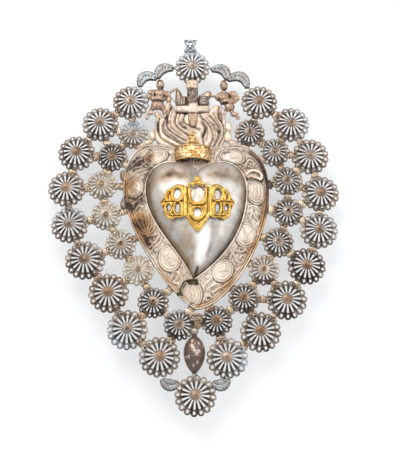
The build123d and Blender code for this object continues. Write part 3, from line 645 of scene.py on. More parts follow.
def rosetteShape(template, slotFrom, radius, rise, turn, seed, look):
    d = rosette
    flat, faces = template
    rng = np.random.default_rng(seed)
    r = np.linalg.norm(flat, axis=1)
    angle = np.arctan2(flat[:, 1], flat[:, 0])
    part = 2 * math.pi / d["petals"]
    lobe = np.floor(angle / part).astype(int) % d["petals"]
    local = (angle % part) - part / 2
    u, v = r * np.cos(local), r * np.sin(local)
    toLobe = np.hypot(u - d["holeAt"], v)
    slotHalf = np.interp(u, [slotFrom, d["slotTo"]], [d["slotNarrow"], d["slotWide"]])
    slotMid = (slotFrom + d["slotTo"]) / 2
    nearSlot = np.abs(v) - slotHalf + 4 * np.maximum(0, np.abs(u - slotMid) - (d["slotTo"] - slotMid))
    valley = r * np.sin(part / 2 - np.abs(local))
    hub = d["hub"]
    fall = np.where(r < hub, 0.10 * (r / hub) ** 2, 0.10 + 0.90 * ((r - hub) / (1 - hub)) ** 1.05)
    ridge = ease(d["fluteFrom"], 0.42, r) * (1 - ease(0.72, 0.95, r))
    height = d["rimLevel"] + rise * (1 - fall)
    height += d["flute"] * ridge * (1 - 2 * bump(valley, 0.055))
    height += 0.22 * ridge * bump(nearSlot - 0.012, 0.02)
    height += d["lobeDish"] * ease(0.66, 0.8, r) * ((toLobe / d["lobeRadius"]) ** 2 - 0.8)
    height += 0.25 * bump(toLobe - d["holeRadius"] - 0.02, 0.03)
    height -= 0.5 * bump(valley, 0.03) * ease(0.7, 0.8, r)
    bends = rng.normal(size=d["petals"])
    bends[rng.integers(0, d["petals"])] -= look.get("folded", 0.8)
    height += d["bend"] * bends[lobe] * ease(0.62, 1.0, r)
    lean = rng.normal(size=2) * d["lean"]
    height += flat @ lean
    height += 0.18 * wander(flat * radius, 9.0, seed + 5)
    height = np.maximum(height, 1.15 + d["sheet"] * 0.6)
    c, s = math.cos(turn), math.sin(turn)
    places = np.column_stack([flat[:, 0] * c - flat[:, 1] * s, flat[:, 0] * s + flat[:, 1] * c])
    patch = wander(places * radius, 14.0, seed + 11, 2)
    dirtAndShade = 0.75 * bump(valley, 0.035) * ease(0.30, 0.42, r) + 0.45 * bump(nearSlot, 0.02) * ridge
    dirtAndShade += 0.32 * ease(0.28, 0.4, r) * (1 - ease(0.66, 0.76, r))
    dirtAndShade += 0.5 * ease(0.12, 0.18, toLobe) * ease(0.8, 0.9, r) + 0.3 * bump(toLobe - d["holeRadius"], 0.02)
    dirtAndShade = dirtAndShade * look.get("grime", 1.0) + look.get("dark", 0.1) * (0.6 + 0.6 * patch) * ease(0.2, 0.5, r)
    # painted shade: darker towards the rosette's lower side, as if lit from above
    dirtAndShade += look.get("lowSideShade", 0.35) * ease(0.2, 0.95, -places[:, 1] + 0.25 * patch) * ease(0.5, 0.8, r)
    dirtAndShade += (0.65 * ease(0.78, 1.0, toLobe / d["lobeRadius"]) * ease(0.8, 0.9, r)
             + 0.42 * (1 - ease(0.22, 0.36, r)) * (1 + 0.5 * patch))
    dirtAndShade += 0.25 * bump(r - 0.7, 0.035)
    warm = look.get("copper", 0.55) * bump(r, 0.30) + look.get("warm", 0.15) * (0.5 + patch)
    bloom, side = look.get("cool", (0.0, 90))
    toward = places @ np.array([math.cos(math.radians(side)), math.sin(math.radians(side))])
    cool = bloom * ease(-0.1, 0.7, toward + 0.3 * patch)
    tones = np.clip(np.column_stack([dirtAndShade, warm, cool]), 0, 1)
    return places * radius, faces, height, tones


silverLooks = {  # how each rosette has aged, where it isn't plain, and how much painted shade falls on its lower side; cool: amount, and side in degrees
    "outer_rosette_top": {"cool": (0.85, 80), "grime": 0.9, "copper": 0.2, "dark": 0.05, "warm": 0.05},
    "outer_rosette_left_1": {"cool": (0.5, 20), "copper": 0.3},
    "outer_rosette_left_2": {"cool": (0.1, 180)},
    "outer_rosette_left_3": {"dark": 0.3, "copper": 0.7},
    "outer_rosette_left_5": {"cool": (0.5, 90), "copper": 0.3},
    "outer_rosette_left_6": {"dark": 0.2, "copper": 0.4},
    "outer_rosette_left_7": {"warm": 0.4},
    "outer_rosette_left_8": {"cool": (0.8, 225), "copper": 0.2},
    "outer_rosette_left_9": {"cool": (0.25, 200), "warm": 0.3},
    "outer_rosette_right_1": {"warm": 0.3, "dark": 0.2},
    "outer_rosette_right_2": {"cool": (0.5, 20), "dark": 0.1},
    "outer_rosette_right_3": {"warm": 0.3},
    "outer_rosette_right_5": {"cool": (0.3, 40)},
    "outer_rosette_right_6": {"dark": 0.55, "copper": 0.8, "grime": 1.3},
    "outer_rosette_right_7": {"dark": 0.35, "grime": 1.2},
    "outer_rosette_right_8": {"dark": 0.3, "warm": 0.2},
    "outer_rosette_right_9": {"cool": (0.8, -10), "warm": 0.1, "copper": 0.1, "folded": 2.0},
    "outer_rosette_bottom": {"dark": 0.2, "copper": 0.7},
    "inner_rosette_left_1": {"cool": (1.0, 90), "grime": 0.6, "copper": 0.1, "dark": 0.0},
    "inner_rosette_left_2": {"dark": 0.35, "grime": 1.2},
    "inner_rosette_left_3": {"cream": True, "grime": 0.5},
    "inner_rosette_left_4": {"cream": True, "grime": 0.5, "folded": 2.4},
    "inner_rosette_left_5": {"cream": True, "grime": 0.7},
    "inner_rosette_left_6": {"cream": True, "grime": 0.35, "lowSideShade": 0.1},
    "inner_rosette_left_7": {"dark": 0.4, "copper": 0.9, "grime": 1.2},
    "inner_rosette_left_8": {"dark": 0.5, "cool": (0.3, 120)},
    "inner_rosette_right_1": {"copper": 0.2, "dark": 0.2},
    "inner_rosette_right_2": {"cool": (0.3, 150), "copper": 0.2},
    "inner_rosette_right_3": {"copper": 0.2, "warm": 0.2},
    "inner_rosette_right_4": {"copper": 0.15, "warm": 0.2},
    "inner_rosette_right_5": {"dark": 0.25, "copper": 0.1},
    "inner_rosette_right_6": {"cream": True, "grime": 0.8, "lowSideShade": 0.7},
    "inner_rosette_right_7": {"dark": 0.3, "copper": 0.6},
    "inner_rosette_right_8": {"dark": 0.45, "copper": 0.7, "grime": 1.2},
}
rosetteNames = sorted(n for n in frame["nodes"] if "_rosette_" in n)


def rosetteRadius(name):
    if name.startswith("inner"):
        return rosette["innerRadius"]
    if name.endswith("top"):
        return rosette["topRadius"]
    if name.endswith("bottom"):
        return rosette["largeRadius"]
    side, number = name.split("_")[-2:]
    return rosette["largeRadius" if int(number) >= rosette["largeFrom"][side] else "smallRadius"]


def makeRosettes():
    templates = {k: rosetteTemplate(rosette[k + "SlotFrom"]) for k in ("outer", "inner")}
    for seed, name in enumerate(rosetteNames):
        look = silverLooks.get(name, {})
        kind = name[:5]
        rise = rosette[kind + "Rise"]
        turn = math.radians(seed * 37 % (360 / rosette["petals"]))
        places, faces, height, tones = rosetteShape(templates[kind], rosette[kind + "SlotFrom"],
                                                    rosetteRadius(name), rise, turn, seed, look)
        points, solid = thicken(places + centreOf(name), faces, height, height - rosette["sheet"])
        back = tones * [0.6, 1, 1] + [0.25, 0.1, 0]
        piece = makeMesh(name.replace("_", "-"), points, solid, np.clip(np.vstack([tones, back]), 0, 1))
        metal = metals["creamSilver" if look.get("cream") else "rosetteSilver"]
        finishPiece(piece, metal, "tarnished_silver", name)
    print("rosettes made", len(rosetteNames))


boss = {"radius": 1.1, "height": 0.85, "sink": 0.25}
eyelet = {"sink": 0.2, "sides": 20,
          "profile": [(1.4, 0.0), (1.4, 0.5), (1.2, 0.85), (1.0, 0.95), (0.85, 0.8), (0.75, 0.45),
                      (0.7, 0.1), (0.3, 0.22), (0.02, 0.25)]}


def makeBosses():
    caps, eyelets = Pile(), Pile()
    for seed, name in enumerate(rosetteNames):
        c = centreOf(name)
        if name.startswith("outer"):
            level = rosette["rimLevel"] + rosette["outerRise"] - boss["sink"]
            caps.add(*domeCap(c, boss["radius"], boss["radius"], level, boss["height"], 0, 8, 22, 0.8),
                     (0.15 + 0.4 * (seed % 3 == 0), 0.4, 0.0))
        else:
            level = rosette["rimLevel"] + rosette["innerRise"] - eyelet["sink"]
            n = eyelet["sides"]
            rings, tones = [], []
            for reach, lift in eyelet["profile"]:
                rings.append(np.column_stack([ovalRing(c, reach, reach, 0, n), np.full(n, level + lift)]))
                tones += [[0.95 if reach < 0.8 or reach > 1.3 else 0.4, 0.3, 0.0]] * n
            points = np.vstack(rings)
            faces = gridFaces(len(rings), n, True)
            faces += [list(range(n))[::-1], list(range(len(points) - n, len(points)))]
            eyelets.add(points, faces, tones)
    finishPiece(caps.make("outerBosses"), metals["warmCopper"], "copper", "copper_bosses")
    finishPiece(eyelets.make("innerEyelets"), metals["rosetteSilver"], "tarnished_silver", "rosette_rivets")
    print("bosses and eyelets made")


makeRosettes()
makeBosses()


def press(places, height, line, width, lift, tones=None, channel=0, tone=0.0):  # a stroke pushed up or down
    line = np.asarray(line, float)
    low, high = line.min(0) - 3 * width, line.max(0) + 3 * width
    near = np.all((places > low) & (places < high), axis=1)
    if not near.any():
        return
    shape = bump(lineDistance(places[near], line), width)
    height[near] += lift * shape
    if tones is not None:
        tones[near, channel] += tone * shape


# a stroke of tone along a line of pixels: stains, and also painted shade and painted highlights
def paintStainOrLight(places, tones, channel, pixels, level, width, amount):
    line = seenLine(pixels, level)
    low, high = line.min(0) - 3 * width, line.max(0) + 3 * width
    near = np.all((places > low) & (places < high), axis=1)
    tones[near, channel] += amount * bump(lineDistance(places[near], line), width)


# how far each point of a closed band lies below its surroundings
def shaded(height, rows, cols, strength, soft):
    h = height.reshape(rows, cols)
    mean = h.copy()
    for _ in range(soft):
        across = np.roll(mean, 1, 1) + np.roll(mean, -1, 1)
        up = np.vstack([mean[:1], mean[:-1]]) + np.vstack([mean[1:], mean[-1:]])
        mean = (2 * mean + across + up) / 6
    return np.clip((mean - h).ravel() * strength, 0, 1)


# links between the rosettes

links = {"gap": 4.6, "lap": 3.0, "wide": 2.7, "narrow": 2.1, "top": 0.95, "under": 0.1, "blob": 2.2,
         "blobLow": 0.75, "lumpSeen": 1.5, "lumpDepth": 1.3}
leafLumps = [  # cast lumps beside the flames and border: pixel, half sizes in mm, turn, dirt
    ((228.2, 126.5), 2.4, 4.0, 10, 0.0), ((227.6, 136.5), 2.7, 4.3, -8, 0.0),
    ((233.8, 143.4), 3.8, 2.3, -25, 0.1), ((152.8, 135.5), 2.3, 3.8, 8, 0.0),
    ((148.4, 142.4), 3.6, 2.3, 35, 0.1), ((123.6, 176.0), 2.5, 4.4, 12, 0.6),
    ((124.6, 202.5), 2.8, 4.8, -14, 0.65), ((125.0, 164.5), 2.2, 3.6, 40, 0.2),
    ((270.4, 184.5), 1.7, 3.2, 4, 0.85), ((142.0, 145.0), 3.4, 2.0, 28, 0.1),
]


def makeLinks(edge):
    spots = {n: (centreOf(n), rosetteRadius(n)) for n in rosetteNames}
    pile = Pile()
    rng = np.random.default_rng(41)

    def strap(a, b, start, end):
        way = (b - a) / np.linalg.norm(b - a)
        side = np.array([-way[1], way[0]])
        left, right = [], []
        for t in np.linspace(0, 1, 9):
            wide = links["narrow"] + (links["wide"] - links["narrow"]) * abs(2 * t - 1) ** 1.5
            wide += 0.15 * rng.normal()
            spot = a + way * (start + (end - start) * t)
            left.append(spot + side * wide)
            right.append(spot - side * wide)
        ring = np.array(left + right[::-1])
        n = len(ring)
        points = np.vstack([np.column_stack([ring, np.full(n, links["under"])]),
                            np.column_stack([ring, np.full(n, links["top"])])])
        faces = [[i, (i + 1) % n, (i + 1) % n + n, i + n] for i in range(n)]
        faces += [[k, n - 1 - k, n - 2 - k, k + 1] for k in range(8)]
        faces += [[n + k, n + k + 1, 2 * n - 2 - k, 2 * n - 1 - k] for k in range(8)]
        pile.add(points, faces, (0.25 + 0.15 * rng.random(), 0.45, 0.0))
        middle = a + way * (start + end) / 2 + rng.normal(size=2) * 0.35
        size = links["blob"] * (0.75 + 0.5 * rng.random())
        turn = math.degrees(math.atan2(way[1], way[0])) + rng.normal() * 20
        depth = 0.7 + 0.4 * rng.random()
        cap = domeCap(middle, size * 0.95, size * 1.4, links["blobLow"], depth, turn, 6, 20, 0.8)
        pile.add(*cap, (0.18 + 0.2 * rng.random(), 0.3 + 0.5 * rng.random(), 0.0))

    names = list(spots)
    for i, first in enumerate(names):
        for second in names[i + 1:]:
            (a, ra), (b, rb) = spots[first], spots[second]
            apart = np.linalg.norm(a - b)
            if apart - ra - rb < links["gap"]:
                strap(a, b, ra - links["lap"], apart - rb + links["lap"])
    for name in names:
        if name.startswith("inner"):
            a, ra = spots[name]
            near = edge[np.argmin(np.linalg.norm(edge - a, axis=1))]
            apart = np.linalg.norm(near - a)
            strap(a, near, ra - links["lap"], apart + 0.2)
    for (px, py), a, b, turn, dark in leafLumps:
        spot = np.array(seenAt(px, py, links["lumpSeen"]))
        cap = domeCap(spot, a, b, links["blobLow"], links["lumpDepth"], turn, 7, 22, 0.7)
        pile.add(*cap, (dark + 0.2 * rng.random(), 0.25 + 0.3 * rng.random(), 0.0))
    finishPiece(pile.make("solderLinks"), metals["creamSilver"], "pale_silver", "link_tabs")
    print("links made")


# heart border

border = {
    "axis": 4.0, "halfWidth": 48.05, "height": 113.3, "top": -75.35,
    "left": [(0.0, 0.06), (0.15, 0.05), (0.35, 0.0), (0.60, 0.0), (0.85, 0.0), (1.0, 0.10), (1.0, 0.27),
             (1.0, 0.50), (0.38, 0.91), (0.0, 1.0)],
    "right": [(0.0, 0.06), (0.15, 0.05), (0.32, 0.0), (0.55, 0.0), (0.85, 0.0), (1.0, 0.12), (1.0, 0.30),
              (1.0, 0.60), (0.42, 1.0), (0.0, 1.0)],
    "steps": 520, "rows": 84, "under": 0.8, "rim": 1.25, "foot": 2.0, "seen": 5.0, "medallionSeen": 5.6,
    "lip": 7.5, "lipWidth": 1.5, "swell": 0.55,
}
heart = {
    "axis": 4.0, "halfWidth": 32.2, "height": 78.8, "top": -90.8,
    "left": [(0.0, 0.095), (0.10, 0.04), (0.28, 0.0), (0.50, 0.0), (0.80, 0.0), (1.0, 0.10), (1.0, 0.24),
             (1.0, 0.52), (0.30, 0.74), (0.05, 1.0)],
    "right": [(0.0, 0.095), (0.10, 0.04), (0.28, 0.0), (0.50, 0.0), (0.80, 0.0), (1.0, 0.10), (1.0, 0.24),
              (1.0, 0.58), (0.56, 0.82), (-0.05, 1.0)],
    "rise": 13.4, "lip": 7.5, "centre": 0.42, "rings": 90, "crest": 20.95, "seen": 17, "under": 0.8,
}
pixelSize = 0.652  # mm at the wall for one pixel of the photograph
# pixel of the middle, half sizes in pixels, turn, and the emblem's strokes in shares of the oval
medallions = [
    ((156.0, 157.0), 12.4, 8.8, 20, [((0.15, -0.2), (0.6, 0.35)), ((0.6, -0.25), (0.2, 0.35))]),
    ((134.5, 187.5), 9.2, 10.8, 5, [((-0.4, 0.2), (0.0, 0.5), (0.3, 0.1)), ((-0.3, -0.4), (0.2, -0.2))]),
    ((169.6, 258.8), 10.6, 13.0, 22,
     [((-0.4, 0.4), (0.0, 0.35), (0.3, 0.5)), ((-0.35, 0.05), (0.1, 0.1), (0.3, -0.1)),
      ((0.0, -0.2), (-0.1, -0.5), (0.25, -0.55)), ((0.35, 0.2), (0.4, -0.3))]),
    ((192.3, 294.6), 9.7, 11.9, 0,
     [((-0.05, 0.7), (0.25, 0.4), (0.1, 0.0), (-0.2, 0.3), (-0.05, 0.7)),
      ((-0.3, -0.45), (0.0, -0.6), (0.35, -0.4)), ((0.0, -0.1), (0.0, -0.5))]),
    ((222.8, 270.9), 9.4, 11.6, -38,
     [((-0.4, 0.3), (0.4, -0.3)), ((-0.35, -0.3), (0.35, 0.35)), ((0.0, 0.55), (0.0, 0.1)),
      ((-0.5, 0.0), (-0.1, -0.05))]),
    ((245.8, 235.4), 10.2, 12.4, -12,
     [((-0.35, 0.6), (0.3, -0.6)), ((0.45, 0.55), (-0.15, -0.5)), ((-0.05, 0.1), (0.1, -0.6))]),
    ((256.2, 193.0), 9.2, 12.7, -3,
     [((-0.35, 0.35), (-0.35, -0.25)), ((0.0, 0.4), (0.0, -0.3)), ((0.35, 0.35), (0.35, -0.25)),
      ((-0.45, -0.5), (0.45, -0.5)), ((-0.3, -0.64), (0.3, -0.64))]),
    ((232.3, 157.2), 12.8, 8.6, -15,
     [((-0.6, 0.1), (-0.2, 0.4), (0.0, 0.1), (-0.35, -0.1)), ((-0.1, -0.3), (0.5, 0.0))]),
]
borderScrolls = [  # raised strokes between the medallions: pixels, width and lift in mm
    ([(122, 168), (127, 161), (134, 155), (143, 150), (150, 146)], 0.55, 0.7),
    ([(124, 176), (128, 169), (134, 163), (141, 159)], 0.5, 0.7),
    ([(129, 172), (134, 168), (141, 167), (146, 163)], 0.45, 0.6),
    ([(127, 180), (133, 174), (140, 171), (147, 170), (152, 166)], 0.55, 0.8),
    ([(139, 176), (145, 174), (151, 171)], 0.4, 0.5), ([(142, 180), (147, 178), (151, 175)], 0.4, 0.5),
    ([(124, 200), (129, 204), (136, 202), (141, 198), (146, 196)], 0.5, 0.7),
    ([(126, 206), (131, 203), (133, 207), (130, 210), (127, 208)], 0.4, 0.6),
    ([(136, 210), (140, 205), (145, 204), (148, 208)], 0.45, 0.6),
    ([(128, 213), (134, 211), (138, 207), (143, 208)], 0.45, 0.6),
    ([(148, 236), (140, 226), (134, 214)], 0.45, 0.75), ([(148, 236), (143, 224), (139, 212)], 0.4, 0.7),
    ([(148, 236), (146, 222), (144, 211)], 0.4, 0.7), ([(148, 236), (149, 222), (149, 212)], 0.4, 0.7),
    ([(148, 236), (152, 225), (153, 215)], 0.4, 0.7), ([(148, 236), (155, 229), (157, 221)], 0.4, 0.7),
    ([(148, 236), (137, 230), (131, 221)], 0.45, 0.7), ([(148, 236), (157, 235), (162, 230)], 0.45, 0.7),
    ([(148, 240), (153, 243), (157, 240), (161, 234)], 0.5, 0.7),
    ([(150, 252), (155, 247), (160, 243), (163, 237), (161, 232)], 0.55, 0.8),
    ([(152, 246), (156, 250), (157, 255)], 0.4, 0.6),
    ([(164, 276), (168, 282), (175, 280), (178, 274), (174, 271)], 0.5, 0.8),
    ([(170, 289), (173, 283), (178, 284), (177, 289), (173, 289)], 0.5, 0.8),
    ([(163, 281), (166, 288), (171, 295), (177, 300)], 0.5, 0.6),
    ([(179, 272), (182, 280), (181, 290)], 0.5, 0.6), ([(170, 297), (176, 297), (181, 303)], 0.45, 0.6),
    ([(203, 301), (206, 296), (211, 296), (212, 300), (208, 302), (206, 299)], 0.5, 0.85),
    ([(203, 288), (207, 283), (211, 279), (213, 274)], 0.5, 0.6),
    ([(207, 290), (212, 286), (216, 284)], 0.45, 0.6),
    ([(213, 292), (219, 288), (226, 284), (232, 279)], 0.45, 0.6),
    ([(234, 256), (238, 262), (243, 262), (246, 258), (243, 255), (240, 258)], 0.45, 0.8),
    ([(236, 251), (241, 252), (246, 250), (250, 253), (254, 250)], 0.5, 0.8),
    ([(240, 248), (247, 248), (252, 245)], 0.4, 0.6), ([(232, 254), (230, 260), (234, 264)], 0.4, 0.6),
    ([(238, 270), (243, 266), (249, 262), (252, 256)], 0.45, 0.6),
    ([(243, 221), (247, 214), (252, 212), (255, 217), (259, 221)], 0.5, 0.85),
    ([(250, 221), (251, 215), (252, 209)], 0.45, 0.7),
    ([(246, 211), (250, 207), (256, 207), (260, 211)], 0.5, 0.7),
    ([(258, 224), (262, 218), (264, 211)], 0.5, 0.6), ([(242, 214), (244, 209), (247, 207)], 0.4, 0.6),
    ([(245, 168), (249, 160), (254, 163), (252, 168), (248, 167)], 0.5, 0.8),
    ([(238, 169), (243, 171), (247, 176), (246, 181)], 0.5, 0.7),
    ([(219, 150), (215, 156), (216, 163)], 0.5, 0.7),
    ([(222, 168), (229, 168), (236, 173), (240, 180)], 0.5, 0.6),
    ([(248, 155), (254, 158), (259, 164)], 0.5, 0.6),
    ([(171, 150), (176, 154), (178, 161), (176, 167)], 0.5, 0.6),
    ([(165, 170), (171, 168), (176, 170)], 0.5, 0.6), ([(194.6, 171), (187, 160)], 0.35, 0.5),
    ([(194.6, 171), (190.5, 159)], 0.35, 0.5), ([(194.6, 171), (193.8, 158)], 0.35, 0.5),
    ([(194.6, 171), (198, 158.5)], 0.35, 0.5), ([(194.6, 171), (202, 160)], 0.35, 0.5),
    ([(160, 145), (168, 146), (175, 149)], 0.45, 0.5), ([(224, 144), (232, 145), (241, 148)], 0.45, 0.5),
]
borderPearls = [  # pixel and radius in mm
    ((149.4, 246.4), 0.9), ((155.2, 250.4), 0.9), ((157, 246), 0.7), ((153, 256), 0.7), ((245.3, 259), 0.9),
    ((251.5, 252), 0.8), ((238, 264.5), 0.8), ((255, 163), 1.0), ((251, 178), 0.7), ((127, 195.5), 0.8),
    ((131, 206), 0.8), ((175, 286.5), 0.9), ((164, 284), 0.8), ((209, 299.5), 0.8), ((216, 288.5), 0.7),
    ((250, 205), 0.7), ((258, 208.5), 0.8), ((243, 205), 0.7), ((139, 163.5), 0.8), ((146, 184), 0.8),
    ((178, 155), 0.8), ((213, 153), 0.8), ((217, 167), 0.7), ((173, 171), 0.7), ((184, 300), 0.7),
    ((202, 305), 0.7),
]


def heartLine(form, count):
    sides = []
    for sign, key in ((-1, "left"), (1, "right")):
        p = [(form["axis"] + sign * u * form["halfWidth"], form["top"] - v * form["height"])
             for u, v in form[key]]
        line = np.vstack([bezier(*p[k:k + 4], 60)[:-1] for k in (0, 3, 6)] + [[p[9]]])
        sides.append(spread(line, count))
    return np.vstack([sides[0][:-1], sides[1][:0:-1]])


# the band's places, how far each lies from the rim and from the lip, and how far along the heart
def borderBand(outer, inner):
    rows = border["rows"]
    share = np.linspace(0, 1, rows)[:, None, None]
    places = (outer * (1 - share) + inner * share).reshape(-1, 2)
    width = np.linalg.norm(inner - outer, axis=1)
    deep = (np.linspace(0, 1, rows)[:, None] * width).ravel()
    run = np.linalg.norm(np.diff(np.vstack([outer, outer[:1]]), axis=0), axis=1)
    along = np.tile(np.concatenate([[0], np.cumsum(run)[:-1]]), rows)
    return places, deep, np.tile(width, rows) - deep, along


def borderProfile(deep, toLip, along):  # rolled rim, roped line, sloping band and rolled lip
    d = border
    t = np.clip((deep - d["rim"]) / (deep + toLip - d["rim"] - d["lipWidth"]), 0, 1)
    slope = d["foot"] + (d["lip"] - d["foot"]) * t + d["swell"] * np.sin(math.pi * t)
    rimRoll = d["foot"] + 0.62 * np.sqrt(np.clip(1 - ((deep - 0.62) / 0.64) ** 2, 0, 1))
    lipRoll = d["lip"] + 0.45 * np.sin(math.pi * np.clip(toLip / d["lipWidth"], 0, 1))
    height = np.where(toLip < d["lipWidth"], lipRoll, np.where(deep < d["rim"], rimRoll, slope))
    height -= 0.35 * bump(deep - 1.45, 0.22) + 0.35 * bump(toLip - 1.75, 0.25)
    height += 0.32 * bump(deep - 2.15, 0.33) * (0.65 + 0.35 * np.cos(along * 2 * math.pi / 1.25))
    return height - 0.25 * bump(deep - 2.75, 0.2)


def pressMedallions(places, height, tones, ground):  # and how clear of them each place lies
    clear = np.ones(len(places))
    for (px, py), rx, rz, turn, emblem in medallions:
        centre = np.array(seenAt(px, py, border["medallionSeen"]))
        a, b = rx * pixelSize, rz * pixelSize
        c, s = math.cos(math.radians(turn)), math.sin(math.radians(turn))
        off = places - centre
        u, v = (off[:, 0] * c + off[:, 1] * s) / a, (-off[:, 0] * s + off[:, 1] * c) / b
        rho = np.hypot(u, v)
        clear *= ease(0.98, 1.12, rho)
        height += ground * (0.75 * (1 - ease(0.96, 1.10, rho)) + 0.35 * bump(rho - 0.95, 0.055)
                            - 0.3 * bump(rho - 0.86, 0.04))
        height += ground * (0.15 * bump(rho - 0.78, 0.04) - 0.35 * (1 - ease(0.62, 0.76, rho)))
        height += ground * 0.6 * np.clip(1 - (rho / 0.7) ** 2, 0, 1)
        lift = np.zeros(len(places))
        for stroke in emblem:
            line = [centre + np.array([(x * a * c - y * b * s), (x * a * s + y * b * c)]) for x, y in stroke]
            press(places, lift, smoothLine(line, 12) if len(line) > 2 else line, 0.42, 0.55)
        height += ground * np.clip(lift, 0, 0.6)
        tones[:, 0] += (0.4 * bump(rho - 1.06, 0.04) + 0.15 * bump(rho - 0.855, 0.03)
                        + 0.05 * bump(rho - 0.64, 0.05))
    return clear


def scrollRelief(places):
    relief = np.zeros(len(places))
    for pixels, thick, lift in borderScrolls:
        press(places, relief, smoothLine(seenLine(pixels, border["seen"]), 22), thick * 1.45, lift * 1.6)
    relief = np.minimum(relief, 1.4)
    for (px, py), size in borderPearls:
        far = np.linalg.norm(places - np.array(seenAt(px, py, border["seen"])), axis=1)
        relief = np.maximum(relief, 0.95 * np.sqrt(np.clip(1 - (far / size) ** 2, 0, 1)))
    return relief


def ageAndShadeBorder(places, tones, deep, toLip):  # dirt, warm patches and stains, with painted shade under the crown and under the curled strip
    # the upper half is duller than the tip, most of all its left and right ends
    tones[:, 0] += (0.5 * bump(toLip, 0.35)
                    + 0.14 * ease(-160, -95, places[:, 1]) * (0.7 + 0.5 * wander(places, 7, 17, 2)))
    tones[:, 0] += 0.13 * ease(5, 28, places[:, 0])
    tones[:, 0] += 0.2 * ease(-112, -88, places[:, 1]) * (1 - ease(-30, -10, places[:, 0]))
    patch = wander(places, 26, 21, 3)
    tones[:, 1] += 0.04 + 0.2 * patch + 0.3 * bump(deep - 2.75, 0.5)
    for channel, pixels, level, size, amount in borderStainsAndShade:
        paintStainOrLight(places, tones, channel, pixels, level, size, amount)
    tones[:, 0] *= 0.75 + 0.5 * (patch * 0.5 + 0.5)


def makeBorder():
    d = border
    outer, inner = heartLine(d, d["steps"]), heartLine(heart, d["steps"])
    middle = np.array([heart["axis"], heart["top"] - heart["height"] * heart["centre"]])
    inner = inner + 0.25 * (inner - middle) / np.linalg.norm(inner - middle, axis=1)[:, None]
    cols, rows = len(outer), d["rows"]
    places, deep, toLip, along = borderBand(outer, inner)
    height = borderProfile(deep, toLip, along)
    tones = np.zeros((len(places), 3))
    ground = ease(2.7, 3.3, deep) * ease(1.7, 2.3, toLip)
    clear = pressMedallions(places, height, tones, ground)
    relief = scrollRelief(places)
    ribs = 0.04 * np.cos(along * 2 * math.pi / 2.1 + deep * 1.1 + 1.5 * wander(places, 22, 7, 2))
    bare = np.clip(1 - relief * 1.6, 0, 1)
    height += ground * clear * (relief + bare * (ribs + 0.22 * wander(places, 2.6, 9, 3)))
    height += 0.16 * wander(places, 3.2, 11, 2) * ease(0.4, 1.2, deep) * (1 - ease(3.0, 4.0, deep))
    height += 0.10 * wander(places, 16, 12, 2)
    tones[:, 0] += 0.8 * shaded(height, rows, cols, 3.1, 8)
    tones[:, 0] += ground * clear * bare * (0.24 + 0.24 * wander(places, 3.5, 15, 2))
    ageAndShadeBorder(places, tones, deep, toLip)
    points = np.vstack([np.column_stack([outer, np.full(cols, d["under"])]),
                        np.column_stack([places, height]),
                        np.column_stack([inner, np.full(cols, d["under"])])])
    tones = np.vstack([np.tile([0.5, 0.4, 0], (cols, 1)), tones, np.tile([0.6, 0.3, 0], (cols, 1))])
    total = rows + 2
    faces = gridFaces(total, cols, True)
    last = (total - 1) * cols
    faces += [[last + k, last + (k + 1) % cols, (k + 1) % cols, k] for k in range(cols)]
    piece = makeMesh("embossedBorder", points, [f[::-1] for f in faces], np.clip(tones, 0, 1))
    finishPiece(piece, metals["borderSilver"], "pale_silver", "embossed_border")
    print("border made", len(faces), "faces")

    def surface(place):
        return float(height[np.argmin(((places - place) ** 2).sum(1))])
    return outer, surface


